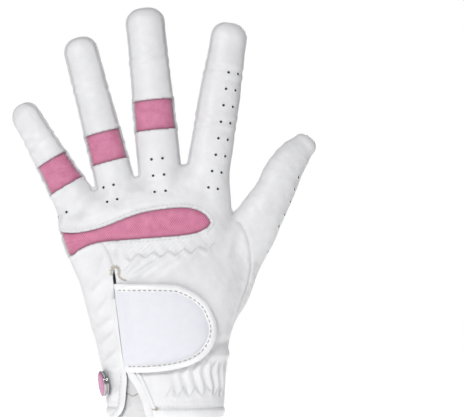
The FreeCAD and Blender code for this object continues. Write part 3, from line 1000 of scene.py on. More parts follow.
WHITE = (0.80, 0.80, 0.815)
SHADE = (0.72, 0.72, 0.74)
back_leather = leather_material("back_leather", WHITE, SHADE, 0.42)
palm_leather = leather_material("palm_leather", (0.79, 0.79, 0.80), (0.71, 0.71, 0.725), 0.5, grain=0.5)
patch_leather = leather_material("patch_leather", (0.79, 0.79, 0.80), (0.72, 0.72, 0.73), 0.45, grain=0.55)
edge_leather = leather_material("edge_leather", (0.82, 0.82, 0.83), (0.74, 0.74, 0.75), 0.36, crease=0.15)
side_leather = leather_material("fourchette_leather", (0.78, 0.78, 0.80), (0.70, 0.70, 0.72), 0.5)
binding_leather = leather_material("gloss_binding", (0.87, 0.87, 0.885), (0.8, 0.8, 0.82), 0.2, grain=0.12,
                                   crease=0.12)
inner_leather = leather_material("inner_suede", (0.66, 0.66, 0.67), (0.55, 0.55, 0.565), 0.85, grain=0.7,
                                 cell=0.0005)
pink_rib = woven_material("pink_rib_stretch", (0.80, 0.30, 0.46), (0.50, 0.13, 0.24), 0.9, 35, 0.55)
pink_insert = woven_material("pink_insert", (0.80, 0.31, 0.47), (0.52, 0.14, 0.26), 0.75, -20, 0.5)
tab_fabric = woven_material("tab_fabric", (0.78, 0.78, 0.83), (0.72, 0.72, 0.78), 0.5, 0, 0.5, 0.15)
elastic = woven_material("elastic", (0.74, 0.74, 0.75), (0.6, 0.6, 0.61), 1.0, 0, 0.7)
gusset_leather = leather_material("gusset_leather", (0.72, 0.72, 0.725), (0.62, 0.62, 0.63), 0.6, grain=0.5)
loop_fabric = woven_material("loop_fabric", (0.78, 0.78, 0.79), (0.6, 0.6, 0.61), 0.45, 12, 0.9)
hook_plastic = woven_material("hook_fabric", (0.8, 0.8, 0.81), (0.62, 0.62, 0.63), 0.7, 0, 0.35)
snap_steel = metal_material("snap_metal", (0.42, 0.42, 0.41), 0.3)
chrome = metal_material("chrome_cup", (0.5, 0.5, 0.51), 0.14)
enamel = enamel_material("pink_enamel", (0.53, 0.14, 0.32), (0.36, 0.07, 0.2))
thread = thread_material("thread", (0.76, 0.76, 0.76), (0.56, 0.56, 0.56))
beige_thread = thread_material("beige_thread", (0.62, 0.58, 0.50), (0.45, 0.41, 0.34))
grey_thread = thread_material("grey_thread", (0.46, 0.44, 0.42), (0.30, 0.29, 0.27))
# painted shadow: near-black cups stand in for the shade inside the air holes
painted_hole_shadow = leather_material("painted_hole_shadow", (0.035, 0.035, 0.04), (0.02, 0.02, 0.02), 0.9)

# ---------------------------------------------------------------- pieces from meshes

def add_mesh(name, points, faces, material, normals=None, uv=None):
    """Object from millimetre points and triangles or quads."""
    mesh = bpy.data.meshes.new(name)
    mesh.from_pydata((np.asarray(points) * 0.001).tolist(), [], [list(f) for f in faces])
    mesh.materials.append(material)
    mesh.polygons.foreach_set("use_smooth", np.ones(len(mesh.polygons), bool))
    if uv is not None:
        layer = mesh.uv_layers.new(name="flat")
        loops = np.empty(len(mesh.loops), np.int32)
        mesh.loops.foreach_get("vertex_index", loops)
        layer.data.foreach_set("uv", np.asarray(uv, np.float32)[loops].ravel())
    mesh.update()
    if normals is not None:
        mesh.normals_split_custom_set_from_vertices(np.asarray(normals).tolist())
    obj = bpy.data.objects.new(name, mesh)
    scene.collection.objects.link(obj)
    return obj


def metres(p):
    return tuple(float(x) * 0.001 for x in p)


def fold_blend(obj):
    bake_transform(obj)


def finger_blend(obj):
    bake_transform(obj)


def thumb_blend(obj, part):
    if part == 1:
        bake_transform(obj)
    else:
        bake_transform(obj)


def open_edges(faces):
    """Directed edges that belong to one face only."""
    edges = np.concatenate([faces[:, [0, 1]], faces[:, [1, 2]], faces[:, [2, 0]]])
    key = np.sort(edges, axis=1)
    code = key[:, 0].astype(np.int64) * (key.max() + 1) + key[:, 1]
    _, first, count = np.unique(code, return_index=True, return_counts=True)
    return edges[first[count == 1]]


class Skin:
    """The finished skin, from which the panels are taken."""

    def __init__(self):
        points, faces = build_skin()
        self.panel, self.segment = label_faces(points, faces)
        self.rest = points
        self.faces = faces
        self.points, self.shade = apply_relief(points, faces, self.panel)
        self.normals = vertex_normals(self.points, faces)
        free = open_edges(faces)
        self.free = {(a, b) for a, b in free.tolist()}
        self.tree = BVHTree.FromPolygons(self.points.tolist(), faces.tolist())

    def take(self, name, panel, segment, material, lined=True):
        """A panel as its own object, with its inner face and the thickness at its open edges."""
        mask = (self.panel == panel) & (self.segment == segment)
        part = self.faces[mask]
        used = np.unique(part)
        where = np.full(len(self.points), -1)
        where[used] = np.arange(len(used))
        local = where[part]
        points = self.points[used]
        normals = self.normals[used]
        n = len(used)
        all_faces = local.tolist()
        all_points = [points]
        all_normals = [normals]
        inner_start = len(all_faces)
        if lined:
            all_points.append(points - normals * LEATHER)
            all_normals.append(-normals)
            all_faces += (local[:, ::-1] + n).tolist()
            for a, b in open_edges(local):
                if (int(used[a]), int(used[b])) in self.free:
                    all_faces.append([int(b), int(a), int(a) + n, int(b) + n])
        points = np.concatenate(all_points)
        uv = points[:, [0, 2]]
        obj = add_mesh(name, points, all_faces, material, np.concatenate(all_normals), uv)
        shade = obj.data.attributes.new("shade", "FLOAT", "POINT")
        shade.data.foreach_set("value", np.resize(self.shade[used], len(points)).astype(np.float32))
        if lined:
            obj.data.materials.append(inner_leather)
            index = np.zeros(len(obj.data.polygons), np.int32)
            index[inner_start:inner_start + len(local)] = 1
            obj.data.polygons.foreach_set("material_index", index)
        return obj

    def on_surface(self, x, z, side):
        """Point and outward normal of the skin at x, z, on the back (-1) or palm (+1) side."""
        hit, normal, _, _ = self.tree.ray_cast(Vector((x, 60.0 * side, z)), Vector((0, -side, 0)))
        if hit is None:
            return None
        return np.array(hit), np.array(normal)


def finish_piece(obj, slot, *nodes):
    """Hides the CAD nodes that a piece stands for; the slot is not used."""
    if nodes:
        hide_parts(*nodes)


def fix_piece(obj, body, slot, *nodes):
    """For a piece that moves with one body."""
    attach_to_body(obj, body)
    finish_piece(obj, slot, *nodes)


def make_panels(skin):
    folding = (
        ("back_leather_panel", "back", back_leather, "back_leather", ["back_panel", "upper_back"]),
        ("palm_leather_panel", "palm", palm_leather, "palm_leather", ["palm_panel", "upper_palm"]),
        ("knuckle_rib_panel", "knuckle", pink_rib, "pink_rib_stretch", ["knuckle_stretch_panel"]),
        ("web_gussets", "side", side_leather, "fourchette_leather", []),
        ("placket_leather", "placket", back_leather, "back_leather", ["placket"]),
        ("heel_patch_leather", "heel", patch_leather, "patch_leather", ["heel_patch"]),
    )
    for name, panel, material, slot, nodes in folding:
        obj = skin.take(name, panel, "hand", material, lined=panel != "side")
        fold_blend(obj)
        finish_piece(obj, slot, *nodes)
    obj = skin.take("cuff_hem_band", "hem", "hand", edge_leather)
    fix_piece(obj, "hand", "edge_leather", "cuff_hem")
    obj = skin.take("thumb_leather_panel", "thumb", "hand", palm_leather)
    fix_piece(obj, "hand", "palm_leather", "thumb_panel")
    faces_of_part = (("back", back_leather, "back_leather"), ("palm", palm_leather, "palm_leather"))
    for name in FINGERS:
        for part, node_part in ((1, "_middle"), (2, "_tip")):
            segment = "%s_%d" % (name, part)
            for panel, material, slot in faces_of_part:
                obj = skin.take("%s_%s_%d" % (name, panel, part), panel, segment, material, lined=False)
                finger_blend(obj)
                finish_piece(obj, slot, name + node_part + "_" + panel)
            obj = skin.take("%s_side_%d" % (name, part), "side", segment, side_leather, lined=False)
            finger_blend(obj)
            strips = [name + "_fourchettes"] if part == 1 else []
            finish_piece(obj, "fourchette_leather", *strips)
        if name in FINGERS_WITH_INSERT:
            obj = skin.take(name + "_insert", "insert", name + "_1", pink_insert, lined=False)
            finger_blend(obj)
            finish_piece(obj, "pink_insert", name + "_flex_insert")
    for part, node_part in ((1, "thumb_middle"), (2, "thumb_tip")):
        for panel, material, slot in faces_of_part:
            obj = skin.take("thumb_%s_%d" % (panel, part), panel, "thumb_%d" % part, material, lined=False)
            thumb_blend(obj, part)
            finish_piece(obj, slot, "%s_%s" % (node_part, panel))


# ---------------------------------------------------------------- layers laid over the wrist

def flat_grid(low, high, step):
    """Triangles over a rectangle of the x, z plane."""
    xs = np.arange(low[0], high[0] + step, step)
    zs = np.arange(low[1], high[1] + step, step)
    grid_x, grid_z = np.meshgrid(xs, zs, indexing="ij")
    points = np.stack([grid_x, np.zeros_like(grid_x), grid_z], -1).reshape(-1, 3)
    i, j = np.meshgrid(np.arange(len(xs) - 1), np.arange(len(zs) - 1), indexing="ij")
    a = (i * len(zs) + j).ravel()
    b = a + len(zs)
    faces = np.concatenate([np.stack([a, b, b + 1], 1), np.stack([a, b + 1, a + 1], 1)])
    return points, faces


def lie_on(x, z, offset, side):
    """Points at x, z on the smooth glove raised by an offset, on the back (-1) or the palm (+1)."""
    near = np.zeros(len(x))
    far = np.full(len(x), 34.0)
    for _ in range(15):
        middle = (near + far) / 2
        outside = glove_distance(np.stack([x, side * middle, z], -1)) > offset
        far = np.where(outside, middle, far)
        near = np.where(outside, near, middle)
    return np.stack([x, side * (near + far) / 2, z], -1)


def closed_layer(name, top, bottom, faces, material):
    """Thick piece between two matching surfaces."""
    n = len(top)
    top_normals = vertex_normals(top, faces)
    all_faces = faces.tolist() + (faces[:, ::-1] + n).tolist()
    all_faces += [[int(b), int(a), int(a) + n, int(b) + n] for a, b in open_edges(faces)]
    points = np.concatenate([top, bottom])
    normals = np.concatenate([top_normals, -vertex_normals(bottom, faces)])
    return add_mesh(name, points, all_faces, material, normals, points[:, [0, 2]])


def laid_piece(name, box, inside, low, high, material, side=-1, step=0.6, cuts=()):
    """Layer over the wrist, within inside(p) < 0, between the offsets low(p) and high(p)."""
    points, faces = flat_grid(*box, step * (1))
    for field in (inside, *cuts):
        points, faces = cut(points, faces, field, 0.05)
    faces = faces[inside(points[faces].mean(1)) < 0]
    points, faces = compact(points, faces)
    x, z = points[:, 0], points[:, 2]
    top = lie_on(x, z, high(points), side)
    bottom = lie_on(x, z, low(points), side)
    if side > 0:
        faces = faces[:, ::-1]
    return closed_layer(name, top, bottom, faces, material)


def level(height):
    """The same offset everywhere."""
    return lambda p: height + 0 * p[:, 0]


def rounded(distance, width, power=2.2):
    """Cross section of a soft band: 0 at both edges, 1 over the middle."""
    t = np.clip(np.abs(2 * distance / width - 1), 0, 1)
    return (1 - t ** power) ** (1 / power)


def tab_edge_distance(p):
    """Distance in from the free edge of the tab, which is all of it but the sewn side."""
    return line_distance(p, TAB_CURVE)


def tab_hinge_distance(p):
    """Distance from the sewn side of the tab."""
    line = (TAB_HINGE_HIGH - TAB_HINGE_LOW)[[0, 2]]
    line /= np.linalg.norm(line)
    dx = p[:, 0] - TAB_HINGE_LOW[0]
    dz = p[:, 2] - TAB_HINGE_LOW[2]
    return dx * line[1] - dz * line[0]


def tab_lift(p):
    """The tab rises from its seam to lie over the loop patch."""
    return ease(np.clip((tab_hinge_distance(p) + 1.0) / 9.0, 0, 1))


def tab_blend(obj):
    line = TAB_HINGE_HIGH - TAB_HINGE_LOW
    across = np.array([line[2], 0.0, -line[0]])
    across /= np.linalg.norm(across)
    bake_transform(obj)


TAB_BOX = ((-26.5, 22.0), (27.0, 68.0))


def make_tab():
    """The closure tab: its cloth, and the glossy binding round its free edge."""

    def whole(p):
        return outline_distance(p, TAB_CURVE)

    def cloth(p):
        return np.maximum(whole(p), BINDING_WIDTH - 0.9 - tab_edge_distance(p))

    def bound(p):
        return np.maximum(whole(p), tab_edge_distance(p) - BINDING_WIDTH)

    def cloth_top(p):
        d = tab_edge_distance(p)
        crown = 0.55 * (1 - np.exp(-np.maximum(d - BINDING_WIDTH, 0) / 5.0))
        dip = 0.35 * ridge(d - BINDING_WIDTH, 0.9)
        return 0.9 + tab_lift(p) * (2.05 + crown - dip) + 0.05 * soft_noise(p, 9.0, 21)

    def cloth_low(p):
        return 0.25 + 1.8 * tab_lift(p)

    obj = laid_piece("tab_cloth", TAB_BOX, cloth, cloth_low, cloth_top, tab_fabric)
    tab_blend(obj)
    finish_piece(obj, "tab_fabric", "closure_tab")

    def bound_top(p):
        d = tab_edge_distance(p)
        roll = rounded(d + 0.25, BINDING_WIDTH + 0.5)
        groove = 0.35 * ridge(d - BINDING_WIDTH + 0.75, 0.3)
        pucker = 0.09 * wave(p[:, 0] + p[:, 2], 2.3) * ridge(d - 2.6, 0.9)
        return 0.75 + tab_lift(p) * (0.95 + 2.0 * roll - groove + pucker)

    def bound_low(p):
        return 0.25 + tab_lift(p) * (0.9 + 0.25 * tab_edge_distance(p))

    obj = laid_piece("tab_edge_binding", TAB_BOX, bound, bound_low, bound_top, binding_leather, step=0.45)
    tab_blend(obj)
    finish_piece(obj, "gloss_binding", "tab_binding")


def make_fastener_pads():
    """Hook pad under the tab and loop patch on the hand."""
    pad = spline_points(HOOK_PAD, True, 6)
    obj = laid_piece("hook_pad", TAB_BOX, lambda p: outline_distance(p, pad),
                     level(1.35), lambda p: 2.1 + 0.25 * np.sin(p[:, 0] * 3.6) * np.sin(p[:, 2] * 3.6),
                     hook_plastic, step=0.45)
    fix_piece(obj, "tab", "hook_fabric", "tab_hook_pad")

    patch = spline_points(LOOP_PATCH, True, 6)
    obj = laid_piece("loop_pad", ((-14, 26), (23, 64)), lambda p: outline_distance(p, patch),
                     level(0.0), lambda p: 0.75 + 0.12 * soft_noise(p, 2.2, 5), loop_fabric)
    fix_piece(obj, "hand", "loop_fabric", "loop_patch")


def make_slit_edges():
    """Bindings along the slit and the soft lining seen through it."""
    def beside(line, width):
        return lambda p: np.max([line_distance(p, line) - width, -outline_distance(p, SLIT_CURVE) - 0.35,
                                 0.15 - p[:, 2]], axis=0)

    def right_top(p):
        d = line_distance(p, RIGHT_EDGE_CURVE)
        tuck = 0.75 * ridge(line_distance(p, TUCK_CURVE), 0.75)
        return 0.2 + 0.95 * rounded(d + 0.5, 4.0) + tuck

    obj = laid_piece("slit_edge_right", ((-26, 0), (-1, 59)), beside(RIGHT_EDGE_CURVE, 3.4),
                     level(-0.9), right_top, edge_leather, step=0.45)
    fix_piece(obj, "hand", "edge_leather", "slit_binding_right")
    obj = laid_piece("cuff_tuck", ((-16, 5), (-3, 25)), lambda p: line_distance(p, TUCK_CURVE) - 1.1,
                     level(-0.5), lambda p: 0.1 + 0.8 * rounded(line_distance(p, TUCK_CURVE) + 1.1, 2.2),
                     edge_leather, step=0.35)
    fix_piece(obj, "hand", "edge_leather")

    def left_top(p):
        return 0.1 + 1.0 * rounded(line_distance(p, LEFT_EDGE_CURVE) + 0.3, 3.0)

    obj = laid_piece("slit_edge_left", ((-29, 0), (-15, 27)), beside(LEFT_EDGE_CURVE, 2.6),
                     level(-0.9), left_top, edge_leather, step=0.4)
    fix_piece(obj, "hand", "edge_leather", "slit_binding_left")

    def gusset_top(p):
        z = p[:, 2]
        hem = 0.25 * ridge(z - 4.6, 0.35)
        return -1.35 + 0.1 * soft_noise(p, 5.0, 4) - hem

    obj = laid_piece("slit_gusset", ((-30, 0.4), (-4, 66)),
                     lambda p: np.max([np.abs(p[:, 0] + 18.5 + 0.085 * p[:, 2]) - 10 + 0.06 * p[:, 2],
                                       0.35 - p[:, 2], p[:, 2] - 65], axis=0),
                     level(-2.0), gusset_top, gusset_leather)
    fix_piece(obj, "hand", "fourchette_leather")


def make_gusset_zigzag():
    """Zigzag that holds the gusset's elastic, on its own stitches."""
    path = upright([(-24.5 + 2.9 * i, 12.4 - 1.6 * (i % 2)) for i in range(8)])
    flat, _ = resample(path, np.ones((8, 3)), 0.5)
    points = lie_on(flat[:, 0], flat[:, 2], np.full(len(flat), -1.25), -1)
    row = Threads()
    row.cord((points, unit(gradient(glove_distance, points))), 0.22)
    obj = row.build("gusset_zigzag", grey_thread)
    fix_piece(obj, "hand", "fourchette_leather")


# piece, CAD node, side of the hand, span in x, span in z
ELASTICS = (
    ("wrist_elastic_strip_palm", "wrist_elastic_palm", 1, (-27.0, 27.0), (24.5, 35.5)),
    ("wrist_elastic_strip_back", "wrist_elastic_back", -1, (-3.5, 26.5), (12.5, 29.5)),
    ("knuckle_elastic_strip", "knuckle_elastic", -1, (-19.5, 23.5), (81.5, 87.5)),
)


def make_elastics():
    """Gathering elastics sewn inside the wrist and under the knuckle panel."""
    for name, replaced, side, xs, zs in ELASTICS:
        def area(p, xs=xs, zs=zs):
            return np.max([xs[0] - p[:, 0], p[:, 0] - xs[1], zs[0] - p[:, 2], p[:, 2] - zs[1]], axis=0)

        obj = laid_piece(name, ((xs[0] - 1, zs[0] - 1), (xs[1] + 1, zs[1] + 1)), area,
                         level(-2.75), lambda p: -2.1 + 0.15 * np.sin(p[:, 0] * 1.9), elastic, side)
        fix_piece(obj, "hand", "elastic", replaced)


# ---------------------------------------------------------------- threads, holes and the ball marker

def upright(path):
    """Points in the x, z plane from (x, z) pairs."""
    path = np.asarray(path, float)
    return np.stack([path[:, 0], np.zeros(len(path)), path[:, 1]], 1)


def resample(points, normals, spacing):
    """Points and normals at even spacing along a line."""
    length = np.concatenate([[0], np.cumsum(np.linalg.norm(np.diff(points, axis=0), axis=1))])
    places = np.arange(0, length[-1], spacing)
    pick = [np.interp(places, length, points[:, k]) for k in range(3)]
    lean = [np.interp(places, length, normals[:, k]) for k in range(3)]
    return np.stack(pick, 1), unit(np.stack(lean, 1))


def tube(points, normals, radii, sides=6):
    """Tube round a line; its first and last rings close to a point."""
    tangent = unit(np.gradient(points, axis=0))
    across = unit(np.cross(tangent, normals))
    up = np.cross(across, tangent)
    angle = np.arange(sides) * 2 * math.pi / sides
    ring = (np.cos(angle)[None, :, None] * across[:, None] + np.sin(angle)[None, :, None] * up[:, None])
    verts = (points[:, None] + ring * np.asarray(radii)[:, None, None]).reshape(-1, 3)
    faces = []
    for i in range(len(points) - 1):
        for k in range(sides):
            a, b = i * sides + k, i * sides + (k + 1) % sides
            faces.append([a, a + sides, b + sides, b])
    last = (len(points) - 1) * sides
    faces.append(list(range(sides)))
    faces.append([last + k for k in range(sides)][::-1])
    return verts, faces, ring.reshape(-1, 3)


class Threads:
    """Stitches collected into one object."""

    def __init__(self):
        self.points, self.normals, self.faces, self.count = [], [], [], 0

    def add(self, points, normals, radii, sides=6):
        verts, faces, lean = tube(points, normals, radii, sides)
        self.points.append(verts)
        self.normals.append(lean)
        self.faces += [[i + self.count for i in f] for f in faces]
        self.count += len(verts)

    def stitches(self, line, pitch=2.4, share=0.72, radius=0.2):
        """A row of separate stitches, each diving into the leather at both ends."""
        points, normals = resample(*line, pitch / 8)
        lift = np.array([-0.9, 0.2, 0.7, 0.8, 0.7, 0.2, -0.9]) * radius
        thick = np.array([0.45, 0.9, 1.0, 1.0, 1.0, 0.9, 0.45]) * radius
        for start in range(0, len(points) - 8, 8):
            places = start + np.linspace(0, 8 * share, 7)
            own = np.stack([np.interp(places, np.arange(len(points)), points[:, k]) for k in range(3)], 1)
            lean = normals[np.round(places).astype(int)]
            self.add(own + lean * lift[:, None], lean, thick)

    def cord(self, line, radius=0.22):
        points, normals = line
        radii = np.full(len(points), radius)
        radii[[0, -1]] *= 0.4
        self.add(points + normals * radius * 0.5, normals, radii)

    def build(self, name, material):
        normals = np.concatenate(self.normals)
        return add_mesh(name, np.concatenate(self.points), self.faces, material, normals)


def row_on(skin, path, side=-1, lift=0.0, spacing=0.6):
    """Line on the skin under a path of (x, z) points."""
    flat = upright(path)
    flat, _ = resample(flat, np.ones((len(flat), 3)), spacing)
    hits = [skin.on_surface(x, z, side) for x, _, z in flat]
    hits = [h for h in hits if h is not None]
    points = np.array([h[0] for h in hits])
    normals = np.array([h[1] for h in hits])
    return points + normals * lift, normals


def turned_points(profile, place, axis, side, segments):
    """Rings of points round an axis, for a profile of (radius, height)."""
    other = np.cross(axis, side)
    angle = np.arange(segments) * 2 * math.pi / segments
    ring = np.cos(angle)[:, None] * side + np.sin(angle)[:, None] * other
    return np.concatenate([place + axis * h + ring * r for r, h in profile])


def lathe(name, profile, place, direction, material, segments=64):
    """Turned piece along a direction, with softened edges."""
    axis = np.asarray(direction, float) / np.linalg.norm(direction)
    side = np.cross(axis, (0, 0, 1.0))
    side /= np.linalg.norm(side)
    points = turned_points(profile, place, axis, side, segments)
    faces = []
    closed = profile[0][0] > 0.01 or profile[-1][0] > 0.01
    count = len(profile)
    for i in range(count if closed else count - 1):
        j = (i + 1) % count
        for k in range(segments):
            m = (k + 1) % segments
            faces.append([i * segments + k, j * segments + k, j * segments + m, i * segments + m])
    obj = add_mesh(name, points, faces, material)
    clean = bmesh.new()
    clean.from_mesh(obj.data)
    bmesh.ops.remove_doubles(clean, verts=clean.verts, dist=1e-6)
    bmesh.ops.dissolve_degenerate(clean, edges=clean.edges, dist=1e-7)
    bmesh.ops.recalc_face_normals(clean, faces=clean.faces)
    clean.to_mesh(obj.data)
    clean.free()
    edges = obj.modifiers.new("edges", "BEVEL")
    edges.width = 0.00012
    edges.segments = 2
    edges.limit_method = "ANGLE"
    edges.angle_limit = math.radians(35)
    return obj


def make_snap_and_marker():
    pieces = (
        ("snap_post", [(0, -2.6), (1.5, -2.6), (1.5, 0.75), (4.0, 0.75), (4.2, 0.9), (4.0, 1.1), (1.5, 1.1),
                       (1.5, 1.5), (1.95, 1.6), (2.0, 1.95), (1.7, 2.25), (0, 2.3)],
         snap_steel, "snap_metal", "hand", "snap_stud"),
        ("snap_back_cap", [(0, -3.4), (3.9, -3.4), (4.6, -3.0), (4.5, -2.6), (0, -2.6)],
         snap_steel, "snap_metal", "hand", "snap_backing"),
        ("marker_spring_ring", [(2.35, 1.3), (4.9, 1.3), (5.0, 1.5), (5.0, 2.4), (4.8, 2.5), (2.35, 2.5)],
         snap_steel, "snap_metal", "marker", "marker_socket"),
        ("marker_rim", [(5.05, 1.3), (6.2, 1.3), (6.35, 1.45), (6.35, 1.8), (6.2, 1.95), (5.75, 2.05),
                        (5.75, 2.45), (6.25, 2.6), (6.35, 2.75), (6.35, 3.5), (6.2, 3.68), (5.95, 3.7),
                        (5.92, 3.2), (2.4, 3.1), (2.4, 2.62), (5.05, 2.55)],
         chrome, "chrome_cup", "marker", "marker_cup"),
        ("marker_enamel", [(0, 3.22), (5.85, 3.22), (5.88, 3.6), (5.5, 3.78), (4.0, 3.9), (2.0, 3.96),
                           (0, 3.98)],
         enamel, "pink_enamel", "marker", "marker_face"),
    )
    for name, profile, material, slot, body, replaced in pieces:
        obj = lathe(name, profile, SNAP_POINT, SNAP_DIRECTION, material)
        fix_piece(obj, body, slot, replaced)


# start x, end x, height, side of the hand, thread radius
HEM_ROWS = [(-7.0, 28.6, 4.0, -1, 0.15), (-5.0, 28.6, 6.1, -1, 0.15), (-28.0, 28.1, 3.9, 1, 0.16),
            (-28.0, 28.1, 6.4, 1, 0.16)]
# start x, end x, height, tooth height, side of the hand
WRIST_ZIGZAGS = [(0.5, 28.5, 10.5, 5.4, -1), (-26, 26, 9.2, 2.6, 1), (-26, 26, 21.6, 2.6, 1)]
SLIT_TACK = (-24.6, 72.6)
PANEL_STITCH_OFFSET = 1.5


def make_cuff_stitching(skin):
    """Rows round the hem and the slit, and the wrist's zigzags."""
    fixed = Threads()
    for x0, x1, z, side, radius in HEM_ROWS:
        row = [(x, z) for x in np.arange(x0, x1, 0.5)]
        fixed.stitches(row_on(skin, row, side), 2.1, radius=radius)
    for x0, x1, low, tall, side in WRIST_ZIGZAGS:
        xs = np.arange(x0, x1, ZIGZAG_PITCH * 0.39)
        zigzag = [(x, low + tall * (i % 2)) for i, x in enumerate(xs)]
        fixed.cord(row_on(skin, zigzag, side), 0.17)
    fixed.stitches(row_on(skin, RIGHT_EDGE_CURVE[18:] + [3.0, 0.6], lift=0.15), 2.2, radius=0.15)
    fixed.stitches(row_on(skin, LEFT_EDGE_CURVE[6:-2] + [-2.9, 0.0], lift=0.1), 2.2, radius=0.15)
    obj = fixed.build("cuff_stitching", thread)
    fix_piece(obj, "hand", "edge_leather")


def make_panel_stitching(skin):
    """Rows round the knuckle panel, the thumb panel and the heel patch."""
    moving = Threads()
    around = offset_line(PANEL_CURVE[6:60], PANEL_STITCH_OFFSET)
    moving.stitches(row_on(skin, around), 2.2, radius=0.14)
    xs = np.arange(-19.5, 26.0, ZIGZAG_PITCH / 6)
    zig = [(x, float(zigzag_height(np.array([x]))[0]) - 0.2) for x in xs]
    moving.cord(row_on(skin, zig, spacing=0.45), 0.17)
    moving.stitches(row_on(skin, offset_line(THUMB_PALM_CURVE[4:50], -1.4), 1), 2.3, radius=0.16)
    moving.stitches(row_on(skin, offset_line(HEEL_CURVE[2:46], -1.5), 1), 2.3, radius=0.16)
    obj = moving.build("panel_stitching", thread)
    fold_blend(obj)
    finish_piece(obj, "edge_leather")


def make_bar_tacks(skin):
    """Thick stitches that hold both ends of the slit."""
    tacks = Threads()
    for k in range(17):
        turn = math.radians(-30 + 15 * k)
        reach = 1.9 + 0.5 * (k % 2)
        x, z = SLIT_TACK[0] + 1.2 * math.cos(turn), SLIT_TACK[1] + 1.9 * math.sin(turn)
        end = (x + reach * math.cos(turn), z + reach * math.sin(turn))
        tacks.cord(row_on(skin, [(x, z), ((x + end[0]) / 2, (z + end[1]) / 2), end], spacing=0.5), 0.26)
    tacks.cord(row_on(skin, [(-23.2, 71.4), (-22.4, 69.9), (-20.8, 68.9), (-18.6, 68.5)], spacing=0.5), 0.42)
    for x, z in ((-4.2, 5.4), (-3.6, 4.4)):
        path = [(x - 1.0, z - 0.6), (x, z), (x + 1.0, z + 0.3)]
        tacks.cord(row_on(skin, path, spacing=0.4, lift=0.3), 0.34)
    obj = tacks.build("bar_tacks", beige_thread)
    fix_piece(obj, "hand", "edge_leather")


def offset_line(line, distance):
    """Line moved sideways, to the left of its own direction."""
    line = np.asarray(line, float)
    along = unit(np.gradient(line, axis=0))
    return line + np.stack([-along[:, 1], along[:, 0]], 1) * distance


def make_tab_stitching():
    """Grey stitches in the groove of the tab's binding."""
    line = offset_line(TAB_CURVE[1:-1], -(BINDING_WIDTH - 0.75))
    flat = upright(line)
    top = 0.75 + tab_lift(flat) * 2.62
    points = lie_on(flat[:, 0], flat[:, 2], top, -1)
    above = lie_on(flat[:, 0], flat[:, 2], top + 1.0, -1)
    normals = unit(gradient(glove_distance, (points + above) / 2))
    row = Threads()
    row.stitches((points, normals), 2.6, 0.68, 0.24)
    obj = row.build("tab_stitching", grey_thread)
    tab_blend(obj)
    finish_piece(obj, "gloss_binding")


# distances from the fingertip, across the finger: first, pitch, count, then both places across
PERFORATIONS = {
    "index": (25.4, 8.4, 8, (2.7, 7.4)),
    "middle": (76.9, 8.2, 3, (-3.4, 2.1)),
    "ring": (76.9, 7.5, 2, (-6.1, -0.9)),
    "little": (59.0, 8.0, 1, (-11.4, -6.4)),
}
RIM_PROFILE = [(0.66, -0.25), (0.68, 0.12), (0.82, 0.2), (1.05, 0.1), (1.3, -0.15)]
CUP_PROFILE = [(0.0, 0.05), (0.4, 0.05), (0.69, 0.08)]
THUMB_HOLES = [(67.0, 120.0), (65.0, 114.0), (62.8, 107.7), (60.0, 101.3), (57.0, 95.3), (51.6, 82.5)]


def finger_part(name, d):
    """Skin segment at a distance from the fingertip."""
    first, second = FINGERS[name]["cuts"]
    if d < second:
        return name + "_2"
    return name + "_1" if d < first else "hand"


def thumb_part(x, z):
    """Skin segment of a place on the back of the thumb."""
    height = thumb_along(np.array([x, 10.0, z]))
    if height > THUMB_CUTS[1]:
        return "thumb_2"
    return "thumb_1" if height > THUMB_CUTS[0] else "thumb_0"


def perforation_places():
    """Places of the air holes as (x, z), grouped by the skin segment they lie on."""
    groups = {}
    for name, (first, pitch, count, places) in PERFORATIONS.items():
        spec = FINGERS[name]
        across, _, along = directions(spec["lean"], FINGER_RISE)
        for k in range(count):
            d = first + pitch * k
            shift = -0.55 * max(0, k - 5)
            for u in places:
                spot = np.array(spec["tip"]) - along * d + across * (u + shift)
                groups.setdefault(finger_part(name, d), []).append((spot[0], spot[2]))
    for x, z in THUMB_HOLES:
        groups.setdefault(thumb_part(x, z), []).append((x, z))
    return groups


def make_perforations(skin):
    """Punched air holes: a turned-up rim round a dark cup, which paints the shadow inside the hole."""
    looks = (("rims", RIM_PROFILE, back_leather), ("holes", CUP_PROFILE, painted_hole_shadow))
    for part, spots in perforation_places().items():
        for suffix, profile, material in looks:
            all_points, all_faces, count = [], [], 0
            for x, z in spots:
                hit = skin.on_surface(x, z, -1)
                if hit is None:
                    continue
                points, faces = punched(profile, *hit)
                all_points.append(points)
                all_faces += [[i + count for i in f] for f in faces]
                count += len(points)
            if not all_points:
                continue
            obj = add_mesh("air_%s_%s" % (suffix, part), np.concatenate(all_points), all_faces, material)
            attach(obj, part)
            finish_piece(obj, "back_leather")


def punched(profile, place, normal, segments=16):
    """Open turned surface on the skin at a place."""
    side = unit(np.cross(normal, (0.3, 0.1, 1.0)))
    points = turned_points(profile, place, normal, side, segments)
    faces = []
    for i in range(len(profile) - 1):
        for k in range(segments):
            m = (k + 1) % segments
            a, b = i * segments, (i + 1) * segments
            faces.append([a + k, a + m, b + m, b + k][::-1])
    return points, faces


def attach(obj, part):
    """Bakes a small piece in place; one on the lower thumb is hung on the hand body instead."""
    if part == "hand":
        fold_blend(obj)
    elif part == "thumb_0":
        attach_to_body(obj, "hand")
    elif part.startswith("thumb"):
        thumb_blend(obj, int(part[-1]))
    else:
        finger_blend(obj)


# ---------------------------------------------------------------- stage, light and camera

VIEW_CENTRE = (33.5, 104.25)
VIEW_WIDTH = 232.0
CAMERA_DISTANCE = 1500.0
FLOOR_RADIUS = 420.0
FLOOR_HEIGHT = -0.8
FLOOR_SIDES = 96
FLOOR_GLOW = 0.6
UP = np.array([0.0, 0.0, 1.0])
SENSOR_WIDTH = 36.0
WORLD_STRENGTH = 0.27

